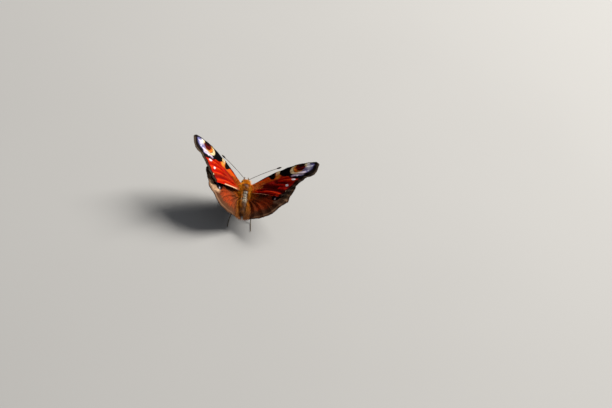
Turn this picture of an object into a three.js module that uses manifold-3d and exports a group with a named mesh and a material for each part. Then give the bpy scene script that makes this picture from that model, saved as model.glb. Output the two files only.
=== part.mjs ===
// A peacock butterfly standing with its wings half open, at life size.
// Millimetres. +Z is up, +Y points from the tail to the head, +X to the animal's right.
// The body group is measured from the middle of the thorax, and stands on the floor at z = 0.
import * as THREE from 'three';
import { mergeVertices } from 'three/addons/utils/BufferGeometryUtils.js';
import Module from 'manifold-3d';

const wasm = await Module();
wasm.setup();

// Stance of the whole animal
const STAND_HEIGHT = 6.8; // floor to the middle of the thorax
const LENGTH_SHIFT = 4.75; // brings the middle of the whole length over the origin
const GAP = 0.3; // clear space between neighbouring pieces

// Body: ellipsoids cut off square at the neck and the waist
const HEAD = { centre: [0, 5.6, 0], radii: [1.55, 1.55, 1.45], back: 4.35, front: 7.15 };
const THORAX = { centre: [0, 0, 0], radii: [2.35, 4.9, 2.45], back: -3.8, front: 4.05 };
const ABDOMEN = { front: -4.1, back: -14.2, halfWidth: 1.65, halfHeight: 1.65, droop: 0.7, segments: 8 };
const BODY_SIDES = 20;

// Eyes: domes set in flat-bottomed sockets
const EYE = { centre: [0.95, 5.75, 0.2], radii: [1.0, 0.95, 1.0], floor: 1.2 };

// Mouthparts and feelers
const PALP = { root: [0.75, 6.2, -0.7], bend: [0.92, 7.4, -0.75], tip: [0.8, 8.3, 0.15], radius: 0.34 };
const FEELER = { root: [0.4, 6.1, 1.25], tip: [12.5, 6.8, 11.1], arch: 0.5, shaft: 0.26, club: 0.5, clubLength: 2.4 };
const TONGUE = { centre: [0, 6.75, -2.1], outer: 1.25, inner: 0.45, turns: 1.25, radius: 0.23 };

// Wings: each is a fan of veins from the root to the edge, in the wing's own plane.
// A point is [outward from the hinge, rearward from the hinge].
const WING_THICKNESS = 0.5;
const VEIN_HEIGHT = 0.2; // above the upper face
const VEIN_DEPTH = 0.1; // below the lower face
const VEIN_HALF_WIDTH = 0.4;
const CELL_END = 0.42; // where along each vein the closed cell of the wing ends
const VEIN_ROWS = [0, 0.12, 0.22, 0.32, CELL_END, 0.52, 0.62, 0.72, 0.82, 0.91, 1];
const PLAIN_ROWS = [0, 0.2, CELL_END, 0.7, 1];
const FOREWING = {
  hinge: [3.0, 2.5, 1.6],
  raise: 43.4,
  root: [[-1.8, -0.5], [-1.8, 1.9]],
  crown: { height: 0.6, at: 2, width: 6, reach: 31 },
  cell: [6, 10], // first and last vein round the end of the closed cell
  veins: [
    { name: 'costa', cell: [5.5, -2.2], edge: [12.5, -3.0], stem: true, scallop: 0 },
    { name: 'subcosta', cell: [7.2, -1.9], edge: [16.5, -3.1], stem: true, scallop: 0 },
    { name: 'radius 1', cell: [8.8, -1.6], edge: [20.2, -3.0], stem: true, scallop: 0 },
    { name: 'radius 2', cell: [10.4, -1.3], edge: [23.4, -2.3], stem: false, scallop: 0 },
    { name: 'radius 3', cell: [11.8, -1.0], edge: [26.4, -1.5], stem: false, scallop: 0 },
    { name: 'radius 4', cell: [12.9, -0.6], edge: [29.6, -0.3], stem: false, scallop: 0 },
    { name: 'radius 5', cell: [13.7, 0.1], edge: [31.2, 2.3], stem: false, scallop: 0.2 },
    { name: 'media 1', cell: [13.9, 1.0], edge: [29.4, 7.1], stem: false, scallop: 0.2 },
    { name: 'media 2', cell: [13.5, 2.1], edge: [25.8, 7.3], stem: false, scallop: 0.2 },
    { name: 'media 3', cell: [12.5, 3.3], edge: [23.0, 8.7], stem: false, scallop: 0.2 },
    { name: 'cubitus 1', cell: [10.6, 4.3], edge: [20.6, 10.4], stem: false, scallop: 0.2 },
    { name: 'cubitus 2', cell: [8.4, 5.1], edge: [18.2, 12.0], stem: true, scallop: 0.2 },
    { name: 'anal', cell: [6.6, 6.3], edge: [15.5, 13.1], stem: true, scallop: 0 },
    { name: 'inner edge', cell: [5.6, 7.5], edge: [13.7, 12.8], stem: false, scallop: 0 },
  ],
};
const RIGHT_SWEEP = 2.8; // degrees that the right forewing is swept back further than the left one
const HINDWING = {
  hinge: [2.8, -1.5, 0.1],
  raise: 42,
  root: [[-1.7, -0.2], [-1.5, 1.9]],
  crown: { height: -0.5, at: 16, width: 7, reach: 24 },
  cell: [2, 6],
  veins: [
    { name: 'costa', cell: [4.8, -1.7], edge: [13.0, -1.7], stem: true, scallop: 0 },
    { name: 'subcosta', cell: [7.4, -1.2], edge: [18.0, 0.8], stem: true, scallop: 0.1 },
    { name: 'radius', cell: [9.2, 0.4], edge: [20.9, 4.9], stem: true, scallop: 0.2 },
    { name: 'media 1', cell: [9.4, 2.0], edge: [20.0, 8.0], stem: false, scallop: 0.2 },
    { name: 'media 2', cell: [9.0, 3.5], edge: [18.4, 10.2], stem: false, scallop: 0.2 },
    { name: 'media 3', cell: [8.1, 4.8], edge: [17.5, 12.9], stem: false, scallop: 0.3 },
    { name: 'cubitus 1', cell: [6.8, 5.7], edge: [14.0, 13.7], stem: false, scallop: 0.2 },
    { name: 'cubitus 2', cell: [5.1, 6.3], edge: [10.6, 15.8], stem: true, scallop: 0.2 },
    { name: 'anal 1', cell: [3.1, 6.5], edge: [6.6, 16.3], stem: true, scallop: 0.2 },
    { name: 'anal 2', cell: [1.3, 6.2], edge: [2.6, 15.3], stem: true, scallop: 0.2 },
    { name: 'inner edge', cell: [-0.6, 5.8], edge: [-1.1, 13.6], stem: false, scallop: 0 },
  ],
};

// Legs: joints from the body outwards; the last stretch lies on the floor
const TARSUS_HEIGHT = 0.18; // middle of the tarsus above the floor
const LEG_RADII = { thigh: 0.42, knee: 0.34, shin: 0.3, ankle: 0.27, toe: 0.25 };
const TARSUS_Z = TARSUS_HEIGHT - STAND_HEIGHT;
const MID_LEG = {
  hip: [0.9, 0.3, -1.6], knee: [4.9, 2.6, -2.2], ankle: [7.2, 4.1, TARSUS_Z], toe: [9.6, 7.3, TARSUS_Z],
};
const HIND_LEG = {
  hip: [0.9, -1.9, -1.95], knee: [3.3, -6.8, -1.7], ankle: [4.5, -10.8, TARSUS_Z], toe: [4.8, -15.8, TARSUS_Z],
};
const FORE_LEG = { hip: [0.9, 2.2, -1.4], knee: [1.55, 4.3, -2.9], toe: [1.5, 6.4, -2.75], radius: 0.32 };
const LEG_SIDES = 8;

// Coat of the thorax: flat tapered locks
const COAT = { rows: 9, spacing: 0.78, length: 2.3, width: 0.9, thickness: 0.5, rise: 0.75, sunk: 0.7, seed: 41 };

// Finishes
const FINISH = {
  fur: { color: '#8a4a1c', roughness: 0.9, metalness: 0 },
  abdomen: { color: '#4a3021', roughness: 0.85, metalness: 0 },
  eye: { color: '#2a1a14', roughness: 0.35, metalness: 0 },
  feeler: { color: '#2c221c', roughness: 0.7, metalness: 0 },
  forewing: { color: '#a32a14', roughness: 0.75, metalness: 0 },
  hindwing: { color: '#6d2a17', roughness: 0.75, metalness: 0 },
  leg: { color: '#6b5a45', roughness: 0.8, metalness: 0 },
};

function vector([x, y, z], side = 1) {
  return new THREE.Vector3(side * x, y, z);
}

// Closed geometry with its faces turned outwards
function closedGeometry(points, triangles) {
  let volume = 0;
  for (const [a, b, c] of triangles) {
    volume += points[a].dot(points[b].clone().cross(points[c]));
  }
  const index = triangles.flatMap(([a, b, c]) => (volume > 0 ? [a, b, c] : [a, c, b]));
  const geometry = new THREE.BufferGeometry().setFromPoints(points);
  geometry.setIndex(index);
  geometry.computeVertexNormals();
  return geometry;
}

// Skin over a row of rings; a ring of one point is a pole
function loft(rings) {
  const points = rings.flat();
  const triangles = [];
  let start = 0;
  for (let i = 0; i + 1 < rings.length; i += 1) {
    const here = rings[i].length;
    const there = rings[i + 1].length;
    const sides = Math.max(here, there);
    for (let j = 0; j < sides; j += 1) {
      const k = (j + 1) % sides;
      const near = [start + (j % here), start + (k % here)];
      const far = [start + here + (j % there), start + here + (k % there)];
      if (here > 1) {
        triangles.push([near[0], near[1], far[0]]);
      }
      if (there > 1) {
        triangles.push([near[1], far[1], far[0]]);
      }
    }
    start += here;
  }
  return closedGeometry(points, triangles);
}

function asSolid(geometry) {
  const bare = geometry.clone();
  bare.deleteAttribute('normal');
  bare.deleteAttribute('uv');
  const merged = mergeVertices(bare, 1e-5);
  const vertProperties = new Float32Array(merged.attributes.position.array);
  const triVerts = new Uint32Array(merged.index.array);
  return new wasm.Manifold(new wasm.Mesh({ numProp: 3, vertProperties, triVerts }));
}

// The largest closed surface of a solid
function asGeometry(solid) {
  const pieces = solid.decompose();
  pieces.sort((a, b) => b.volume() - a.volume());
  const mesh = pieces[0].getMesh();
  const geometry = new THREE.BufferGeometry();
  geometry.setAttribute('position', new THREE.BufferAttribute(new Float32Array(mesh.vertProperties), 3));
  geometry.setIndex(new THREE.BufferAttribute(new Uint32Array(mesh.triVerts), 1));
  geometry.computeVertexNormals();
  return geometry;
}

function namedMesh(name, geometry, finish) {
  const mesh = new THREE.Mesh(geometry, new THREE.MeshStandardMaterial(finish));
  mesh.name = name;
  return mesh;
}

// Cuts the cutters, given in the body group, out of a mesh of that group
function carve(mesh, cutters) {
  mesh.updateMatrix();
  const intoMesh = mesh.matrix.clone().invert();
  let solid = asSolid(mesh.geometry);
  for (const cutter of cutters) {
    solid = solid.subtract(asSolid(cutter.clone().applyMatrix4(intoMesh)));
  }
  mesh.geometry = asGeometry(solid);
  return mesh;
}

// Body ellipsoid with square ends; grow makes the sleeve that keeps a neighbour clear
function cutEllipsoid(part, rings, grow = 0) {
  const [cx, cy, cz] = part.centre;
  const [rx, ry, rz] = part.radii.map((radius) => radius + grow);
  const angle = (y) => Math.asin(THREE.MathUtils.clamp((y - cy) / ry, -1, 1));
  const first = angle(part.back - grow);
  const last = angle(part.front + grow);
  const stack = [[new THREE.Vector3(cx, cy + ry * Math.sin(first), cz)]];
  for (let i = 0; i <= rings; i += 1) {
    const a = THREE.MathUtils.lerp(first, last, i / rings);
    const scale = Math.cos(a);
    if (scale < 0.02) {
      continue;
    }
    const ring = [];
    for (let j = 0; j < BODY_SIDES; j += 1) {
      const b = (2 * Math.PI * j) / BODY_SIDES;
      ring.push(new THREE.Vector3(cx + rx * scale * Math.sin(b), cy + ry * Math.sin(a), cz + rz * scale * Math.cos(b)));
    }
    stack.push(ring);
  }
  stack.push([new THREE.Vector3(cx, cy + ry * Math.sin(last), cz)]);
  return loft(stack);
}

// Round piece along a path; each ring stands across the path
function tube(path, radii, sides) {
  const tangents = path.map((point, i) => {
    const back = i > 0 ? point.clone().sub(path[i - 1]).normalize() : new THREE.Vector3();
    const ahead = i + 1 < path.length ? path[i + 1].clone().sub(point).normalize() : new THREE.Vector3();
    return back.add(ahead).normalize();
  });
  const upright = Math.abs(tangents[0].z) > 0.9 ? new THREE.Vector3(0, 1, 0) : new THREE.Vector3(0, 0, 1);
  let across = upright.cross(tangents[0]).normalize();
  const rings = [[path[0].clone()]];
  path.forEach((point, i) => {
    across = across.clone().addScaledVector(tangents[i], -across.dot(tangents[i])).normalize();
    const over = tangents[i].clone().cross(across);
    const ring = [];
    for (let j = 0; j < sides; j += 1) {
      const a = (2 * Math.PI * (j + 0.5)) / sides;
      ring.push(point.clone().addScaledVector(across, radii[i] * Math.cos(a)).addScaledVector(over, radii[i] * Math.sin(a)));
    }
    rings.push(ring);
  });
  rings.push([path[path.length - 1].clone()]);
  return loft(rings);
}

// Point on a vein of the fan, at t from the root to the edge
function veinPoint(plan, i, t) {
  const share = i / (plan.veins.length - 1);
  const { cell, edge } = plan.veins[i];
  return [0, 1].map((k) => {
    const root = THREE.MathUtils.lerp(plan.root[0][k], plan.root[1][k], share);
    const bend = (cell[k] - (1 - CELL_END) ** 2 * root - CELL_END ** 2 * edge[k]) / (2 * CELL_END * (1 - CELL_END));
    return (1 - t) ** 2 * root + 2 * t * (1 - t) * bend + t * t * edge[k];
  });
}

// The plan of a wing that is swept back in its own plane; its root stays where it is
function sweptWing(plan, degrees) {
  const a = THREE.MathUtils.degToRad(degrees);
  const turned = ([u, v]) => [u * Math.cos(a) - v * Math.sin(a), v * Math.cos(a) + u * Math.sin(a)];
  return { ...plan, veins: plan.veins.map((vein) => ({ ...vein, cell: turned(vein.cell), edge: turned(vein.edge) })) };
}

// Height of the wing's middle surface over its plane
function crownHeight({ height, at, width, reach }, [u, v]) {
  const along = Math.sin(Math.PI * THREE.MathUtils.clamp(u / reach, 0, 1));
  return height * along * Math.exp(-(((v - at) / width) ** 2));
}

// Columns of the fan: every vein, and a flank on each side of it
function fanColumns(plan, t) {
  const columns = [];
  for (let i = 0; i < plan.veins.length; i += 1) {
    const vein = plan.veins[i];
    const raised = vein.stem || t >= CELL_END;
    const last = i + 1 === plan.veins.length;
    columns.push({ at: veinPoint(plan, i, t), raised: raised && !last });
    if (last) {
      break;
    }
    const inset = t * (1 - vein.scallop / Math.hypot(...vein.edge));
    const here = veinPoint(plan, i, inset);
    const next = veinPoint(plan, i + 1, inset);
    const share = Math.min(0.3, VEIN_HALF_WIDTH / Math.hypot(next[0] - here[0], next[1] - here[1]));
    const closesCell = t === CELL_END && i >= plan.cell[0] && i < plan.cell[1];
    for (const f of [share, 1 - share]) {
      columns.push({ at: [0, 1].map((k) => THREE.MathUtils.lerp(here[k], next[k], f)), raised: closesCell });
    }
  }
  return columns;
}

// Wing plate with the same triangles above and below; grow makes the sleeve round it
function fanWing(plan, side, { rows = VEIN_ROWS, ridge = VEIN_HEIGHT, depth = VEIN_DEPTH, grow = 0 } = {}) {
  const half = WING_THICKNESS / 2 + grow;
  const top = [];
  const bottom = [];
  for (const t of rows) {
    const columns = fanColumns(plan, t);
    columns.forEach(({ at: [u, v], raised }, j) => {
      const lift = crownHeight(plan.crown, [u, v]);
      const taper = raised ? 1 - 0.5 * t : 0;
      const spread = grow * ((2 * j) / (columns.length - 1) - 1);
      top.push(new THREE.Vector3(side * u, -v - spread, lift + half + ridge * taper));
      bottom.push(new THREE.Vector3(side * u, -v - spread, lift - half - depth * taper));
    });
  }
  const wide = top.length / rows.length;
  const count = top.length;
  const triangles = [];
  const quad = (a, b, c, d) => triangles.push([a, b, c], [a, c, d]);
  for (let i = 0; i + 1 < rows.length; i += 1) {
    for (let j = 0; j + 1 < wide; j += 1) {
      const a = i * wide + j;
      quad(a, a + wide, a + wide + 1, a + 1);
      triangles.push([count + a, count + a + wide + 1, count + a + wide], [count + a, count + a + 1, count + a + wide + 1]);
    }
  }
  const lastRow = (rows.length - 1) * wide;
  for (let j = 0; j + 1 < wide; j += 1) {
    quad(j, j + 1, count + j + 1, count + j);
    quad(lastRow + j + 1, lastRow + j, count + lastRow + j, count + lastRow + j + 1);
  }
  for (let i = 0; i + 1 < rows.length; i += 1) {
    const a = i * wide;
    const b = a + wide - 1;
    quad(a + wide, a, count + a, count + a + wide);
    quad(b, b + wide, count + b + wide, count + b);
  }
  return closedGeometry([...top, ...bottom], triangles);
}

function placeWing(mesh, plan, side) {
  mesh.position.copy(vector(plan.hinge, side));
  mesh.rotation.y = -side * THREE.MathUtils.degToRad(plan.raise);
  mesh.updateMatrix();
  return mesh;
}

function wingSleeve(plan, side) {
  const sleeve = fanWing(plan, side, { rows: PLAIN_ROWS, ridge: 0, depth: 0, grow: GAP + VEIN_HEIGHT });
  const mesh = placeWing(new THREE.Mesh(sleeve), plan, side);
  return mesh.geometry.applyMatrix4(mesh.matrix);
}

// Repeatable random numbers from 0 to 1
function randomSource(seed) {
  let state = seed;
  return () => {
    state = (state * 1664525 + 1013904223) % 4294967296;
    return state / 4294967296;
  };
}

// One flat lock that leaves the skin along its normal and bends over to the lie
function lock(skin, normal, lie, { length, width }) {
  const across = lie.clone().cross(normal).normalize();
  const rings = [];
  const steps = [[0, 1], [0.35, 1], [0.7, 0.72]];
  const middle = (s) => skin.clone()
    .addScaledVector(lie, length * s)
    .addScaledVector(normal, COAT.rise * (1 - (1 - s) ** 2) - COAT.sunk * (1 - s) ** 3);
  steps.forEach(([s, share]) => {
    const centre = middle(s);
    const w = (width * share) / 2;
    const h = (COAT.thickness * share) / 2;
    const over = normal.clone().addScaledVector(lie, -0.4 * (1 - s)).normalize();
    rings.push([
      centre.clone().addScaledVector(across, w),
      centre.clone().addScaledVector(over, h),
      centre.clone().addScaledVector(across, -w),
      centre.clone().addScaledVector(over, -h),
    ]);
  });
  return loft([[middle(0)], ...rings, [middle(1)]]);
}

function makeHead() {
  const head = namedMesh('head', cutEllipsoid(HEAD, 10), FINISH.fur);
  const sockets = [1, -1].map((side) => {
    const [, ry, rz] = EYE.radii;
    const depth = 2;
    const socket = new THREE.CylinderGeometry(1, 1, depth, BODY_SIDES).rotateZ(Math.PI / 2).scale(1, ry + GAP, rz + GAP);
    const [, cy, cz] = EYE.centre;
    return socket.translate(side * (EYE.floor - GAP + depth / 2), cy, cz);
  });
  return carve(head, sockets);
}

function makeEye(name, side) {
  const dome = new THREE.SphereGeometry(1, BODY_SIDES, 12).scale(...EYE.radii).translate(...EYE.centre);
  const inside = new THREE.BoxGeometry(4, 4, 4).translate(EYE.floor - 2, EYE.centre[1], EYE.centre[2]);
  const eye = carve(namedMesh(name, dome, FINISH.eye), [inside]);
  if (side < 0) {
    eye.geometry.rotateY(Math.PI);
    eye.geometry.translate(0, 0, 2 * EYE.centre[2]);
  }
  return eye;
}

function makePalp(name, side, headSleeve) {
  const curve = new THREE.CatmullRomCurve3([PALP.root, PALP.bend, PALP.tip].map((p) => vector(p, side)));
  const path = curve.getPoints(8);
  const radii = path.map((point, i) => PALP.radius * (0.8 + 0.4 * Math.sin((Math.PI * i) / 8)) * (i > 6 ? 1 - 0.3 * (i - 6) : 1));
  return carve(namedMesh(name, tube(path, radii, LEG_SIDES), FINISH.fur), [headSleeve]);
}

function makeFeeler(name, side, headSleeve) {
  const root = vector(FEELER.root, side);
  const tip = vector(FEELER.tip, side);
  const length = root.distanceTo(tip);
  const steps = 18;
  const path = [];
  const radii = [];
  for (let i = 0; i <= steps; i += 1) {
    const t = i / steps;
    const point = root.clone().lerp(tip, t);
    point.y += FEELER.arch * Math.sin(Math.PI * t);
    path.push(point);
    const intoClub = THREE.MathUtils.clamp((t * length - length + FEELER.clubLength) / FEELER.clubLength, 0, 1);
    const swell = Math.sin(Math.PI * Math.min(intoClub, 0.86) ** 0.8);
    radii.push(FEELER.shaft + (FEELER.club - FEELER.shaft) * swell);
  }
  return carve(namedMesh(name, tube(path, radii, LEG_SIDES), FINISH.feeler), [headSleeve]);
}

function makeTongue(headSleeve) {
  const steps = 26;
  const centre = vector(TONGUE.centre);
  const path = [new THREE.Vector3(0, 6.1, -0.55)];
  const radii = [TONGUE.radius];
  for (let i = 0; i <= steps; i += 1) {
    const t = i / steps;
    const angle = 2 * Math.PI * TONGUE.turns * t;
    const reach = THREE.MathUtils.lerp(TONGUE.outer, TONGUE.inner, t);
    path.push(new THREE.Vector3(0, centre.y + reach * Math.sin(angle), centre.z + reach * Math.cos(angle)));
    radii.push(TONGUE.radius * (1 - 0.3 * t));
  }
  return carve(namedMesh('proboscis', tube(path, radii, LEG_SIDES), FINISH.feeler), [headSleeve]);
}

function makeThorax(sleeves) {
  const core = asSolid(cutEllipsoid(THORAX, 10));
  const random = randomSource(COAT.seed);
  const [rx, ry, rz] = THORAX.radii;
  const locks = [];
  for (let row = 0; row < COAT.rows; row += 1) {
    const y = THORAX.front - 0.5 - row * COAT.spacing;
    const scale = Math.sqrt(1 - (y / ry) ** 2);
    const reach = THREE.MathUtils.degToRad(y > 0.2 ? 54 : 80);
    const count = Math.max(3, Math.round((2 * reach * rx * scale) / (0.8 * COAT.width)));
    for (let i = 0; i < count; i += 1) {
      const a = THREE.MathUtils.lerp(-reach, reach, (i + 0.5) / count) + 0.12 * (random() - 0.5);
      const at = y + 0.5 * COAT.spacing * (random() - 0.5);
      const skin = new THREE.Vector3(rx * scale * Math.sin(a), at, rz * scale * Math.cos(a));
      const normal = new THREE.Vector3(skin.x / rx ** 2, at / ry ** 2, skin.z / rz ** 2).normalize();
      const lie = new THREE.Vector3(0.35 * Math.sin(a) + 0.2 * (random() - 0.5), -1, 0);
      lie.addScaledVector(normal, -lie.dot(normal)).normalize();
      const length = COAT.length * (0.85 + 0.3 * random());
      locks.push(asSolid(lock(skin, normal, lie, { length, width: COAT.width })));
    }
  }
  let coat = wasm.Manifold.union(locks);
  for (const sleeve of sleeves) {
    coat = coat.subtract(asSolid(sleeve));
  }
  return namedMesh('thorax', asGeometry(core.add(coat)), FINISH.fur);
}

function makeAbdomen() {
  const { front, back, halfWidth, halfHeight, droop, segments } = ABDOMEN;
  const length = front - back;
  const ridge = 0.05;
  const rings = [];
  const fullness = (t) => Math.min(1, 0.8 + 0.9 * t) * Math.sqrt(Math.max(0, 1 - Math.max(0, (t - 0.35) / 0.65) ** 2.2));
  const ringAt = (t, scale) => {
    const ring = [];
    const y = front - t * length;
    const z = -droop * t * t;
    for (let j = 0; j < BODY_SIDES; j += 1) {
      const b = (2 * Math.PI * j) / BODY_SIDES;
      ring.push(new THREE.Vector3(halfWidth * scale * Math.sin(b), y, z + halfHeight * scale * Math.cos(b)));
    }
    return ring;
  };
  rings.push([new THREE.Vector3(0, front, 0)]);
  for (let i = 0; i < segments; i += 1) {
    for (const [part, proud] of [[0, -1], [0.5, 0.4], [0.9, 1]]) {
      const t = (i + part) / segments;
      rings.push(ringAt(t, fullness(t) * (1 + ridge * proud)));
    }
  }
  rings.push([new THREE.Vector3(0, back, -droop)]);
  return namedMesh('abdomen', loft(rings), FINISH.abdomen);
}

function makeWing(name, plan, side, finish, sleeves) {
  return carve(placeWing(namedMesh(name, fanWing(plan, side), finish), plan, side), sleeves);
}

function makeLeg(name, plan, side, sleeves, floor) {
  const { hip, knee, ankle, toe } = Object.fromEntries(Object.entries(plan).map(([key, p]) => [key, vector(p, side)]));
  const { thigh, knee: kneeRadius, shin, ankle: ankleRadius, toe: toeRadius } = LEG_RADII;
  const path = [
    hip, hip.clone().lerp(knee, 0.45), hip.clone().lerp(knee, 0.92), knee, knee.clone().lerp(ankle, 0.1),
    knee.clone().lerp(ankle, 0.6), knee.clone().lerp(ankle, 0.95), ankle.clone().lerp(toe, 0.04),
    ankle.clone().lerp(toe, 0.5), ankle.clone().lerp(toe, 0.93), toe,
  ];
  const radii = [
    thigh, thigh, kneeRadius, kneeRadius, shin, shin, ankleRadius, ankleRadius, toeRadius, toeRadius, 0.6 * toeRadius,
  ];
  return carve(namedMesh(name, tube(path, radii, LEG_SIDES), FINISH.leg), [...sleeves, floor]);
}

function makeForeleg(name, side, sleeves) {
  const { hip, knee, toe, radius } = FORE_LEG;
  const [a, b, c] = [hip, knee, toe].map((p) => vector(p, side));
  const path = [a, a.clone().lerp(b, 0.5), a.clone().lerp(b, 0.9), b.clone().lerp(c, 0.1), b.clone().lerp(c, 0.6), c];
  const radii = [radius, radius, 0.9 * radius, 0.95 * radius, radius, 0.5 * radius];
  return carve(namedMesh(name, tube(path, radii, LEG_SIDES), FINISH.leg), sleeves);
}

const headSleeve = cutEllipsoid(HEAD, 10, GAP);
const thoraxSleeve = cutEllipsoid(THORAX, 10, GAP);
const abdomen = makeAbdomen();
const forewings = { right: sweptWing(FOREWING, RIGHT_SWEEP), left: FOREWING };
const wingSleeves = [1, -1].flatMap((side) => [
  wingSleeve(side > 0 ? forewings.right : forewings.left, side), wingSleeve(HINDWING, side),
]);
const abdomenSleeve = abdomen.geometry.clone().translate(0, -ABDOMEN.front, 0).scale(1.18, 1, 1.18).translate(0, ABDOMEN.front + GAP, 0);
const floor = new THREE.BoxGeometry(100, 100, 10).translate(0, 0, -STAND_HEIGHT - 5);

const body = new THREE.Group();
body.position.set(0, LENGTH_SHIFT, STAND_HEIGHT);
body.add(makeHead(), makeThorax([...wingSleeves, headSleeve, abdomenSleeve]), abdomen, makeTongue(headSleeve));
for (const [label, side] of [['right', 1], ['left', -1]]) {
  body.add(
    makeEye(`eye_${label}`, side),
    makePalp(`palp_${label}`, side, headSleeve),
    makeFeeler(`antenna_${label}`, side, headSleeve),
    makeWing(`forewing_${label}`, forewings[label], side, FINISH.forewing, [thoraxSleeve]),
    makeWing(`hindwing_${label}`, HINDWING, side, FINISH.hindwing, [thoraxSleeve]),
    makeForeleg(`foreleg_${label}`, side, [thoraxSleeve]),
    makeLeg(`mid_leg_${label}`, MID_LEG, side, [thoraxSleeve], floor),
    makeLeg(`hind_leg_${label}`, HIND_LEG, side, [thoraxSleeve], floor),
  );
}

const butterfly = new THREE.Group();
butterfly.add(body);
export default butterfly;
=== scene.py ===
"""A peacock butterfly standing with its wings half open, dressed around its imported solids.

Sizes in the classes are millimetres, measured from the middle of the thorax, with +X to the
animal's right, +Y to its head and +Z up. They become metres where a mesh is written.
"""
import logging
import math
from dataclasses import dataclass, field, replace
from enum import Enum

import bpy
import numpy as np
from mathutils import Matrix, Vector


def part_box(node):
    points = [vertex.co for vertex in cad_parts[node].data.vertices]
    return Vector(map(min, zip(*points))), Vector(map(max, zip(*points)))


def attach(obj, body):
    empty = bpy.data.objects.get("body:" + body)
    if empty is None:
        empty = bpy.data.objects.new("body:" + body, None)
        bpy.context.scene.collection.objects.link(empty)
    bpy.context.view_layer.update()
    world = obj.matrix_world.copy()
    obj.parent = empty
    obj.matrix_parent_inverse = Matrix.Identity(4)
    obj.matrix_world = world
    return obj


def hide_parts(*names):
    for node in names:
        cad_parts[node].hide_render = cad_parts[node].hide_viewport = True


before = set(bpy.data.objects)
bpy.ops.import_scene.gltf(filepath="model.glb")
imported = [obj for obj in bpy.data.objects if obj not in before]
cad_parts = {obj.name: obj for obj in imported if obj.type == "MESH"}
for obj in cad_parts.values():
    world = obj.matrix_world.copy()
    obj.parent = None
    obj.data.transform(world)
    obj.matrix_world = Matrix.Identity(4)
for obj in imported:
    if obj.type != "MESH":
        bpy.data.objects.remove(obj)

MM = 0.001
# A distance in millimetres from which no marking's rim shows.
FAR = 9.0
LOG = logging.getLogger("butterfly")

Point = tuple[float, float]
Spot = tuple[float, float, float]
Colour = tuple[float, float, float]
# One number or one point in each row.
Rows = np.ndarray
Piece = bpy.types.Object
Material = bpy.types.Material
Socket = bpy.types.NodeSocket


class Side(Enum):
    """A side of the animal; the value is the sign of its X."""

    RIGHT = 1
    LEFT = -1

    @property
    def label(self) -> str:
        """The word that ends the names of the pieces of this side."""
        return self.name.lower()

    def own(self, spots: Spot | tuple[Spot, ...]) -> Rows:
        """Places of the right side moved over to this side."""
        return np.array(spots) * (self.value, 1, 1)


class Face(Enum):
    """A face of a wing; the value is the sign of its height over the middle surface."""

    UPPER = 1
    UNDER = -1


@dataclass(frozen=True)
class Stance:
    """Where the middle of the thorax stands in the frame, in metres."""

    middle: Vector

    @classmethod
    def from_frame(cls, waist: float = -4.1) -> "Stance":
        """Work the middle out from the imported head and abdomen.

        Args:
            waist: place of the abdomen's front face behind the middle, in millimetres.

        Returns:
            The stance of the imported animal.
        """
        head_low, head_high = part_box("head")
        abdomen_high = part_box("abdomen")[1]
        return cls(Vector((0.0, abdomen_high.y - waist * MM, (head_low.z + head_high.z) / 2)))

    def place(self, points: Rows) -> Rows:
        """Turn points of the body into points of the frame.

        Args:
            points: rows of x, y, z in millimetres from the middle of the thorax.

        Returns:
            The same rows in metres in the frame.
        """
        return np.asarray(points, float) * MM + np.array(self.middle)


def deselect() -> None:
    """Leave object mode and select nothing."""
    if bpy.context.object and bpy.context.object.mode != "OBJECT":
        bpy.ops.object.mode_set(mode="OBJECT")
    bpy.ops.object.select_all(action="DESELECT")


def take(*pieces: Piece) -> None:
    """Select these pieces alone and make the first one active."""
    deselect()
    for piece in pieces:
        piece.select_set(True)
    bpy.context.view_layer.objects.active = pieces[0]


def add_object(name: str, data: bpy.types.ID) -> Piece:
    """Put a mesh, curve, camera or light into the scene under a name."""
    made = bpy.data.objects.new(name, data)
    bpy.context.scene.collection.objects.link(made)
    return made


def read_points(piece: Piece) -> Rows:
    """The vertices of a piece as rows of x, y, z."""
    points = np.empty(3 * len(piece.data.vertices))
    piece.data.vertices.foreach_get("co", points)
    return points.reshape(-1, 3)


def write_points(piece: Piece, points: Rows) -> None:
    """Move the vertices of a piece, and turn its faces outwards and smooth.

    Args:
        piece: the piece.
        points: rows of x, y, z in metres.
    """
    piece.data.vertices.foreach_set("co", np.asarray(points, np.float32).ravel())
    piece.data.update()
    outward(piece)
    smooth_faces(piece)


def write_value(piece: Piece, name: str, values: Rows) -> None:
    """Store one number for each vertex under a name that a material can read."""
    layer = piece.data.attributes.new(name, "FLOAT", "POINT")
    layer.data.foreach_set("value", np.asarray(values, np.float32))


def write_colour(piece: Piece, name: str, colours: Rows) -> None:
    """Store one colour for each vertex under a name that a material can read.

    Args:
        piece: the piece.
        name: the name.
        colours: rows of red, green and blue.
    """
    layer = piece.data.attributes.new(name, "FLOAT_COLOR", "POINT")
    rows = np.ones((len(colours), 4), np.float32)
    rows[:, :3] = colours
    layer.data.foreach_set("color", rows.ravel())


def smooth_faces(piece: Piece) -> None:
    """Shade every face of a piece smooth."""
    take(piece)
    bpy.ops.object.shade_smooth()
    deselect()


def outward(piece: Piece, merge: float = 0.0) -> None:
    """Merge the doubles of a piece and turn its faces outwards.

    Args:
        piece: the piece to mend.
        merge: distance below which vertices are doubles, in metres.
    """
    take(piece)
    bpy.ops.object.mode_set(mode="EDIT")
    bpy.ops.mesh.select_all(action="SELECT")
    if merge:
        bpy.ops.mesh.remove_doubles(threshold=merge)
    bpy.ops.mesh.normals_make_consistent(inside=False)
    bpy.ops.object.mode_set(mode="OBJECT")
    deselect()


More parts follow.
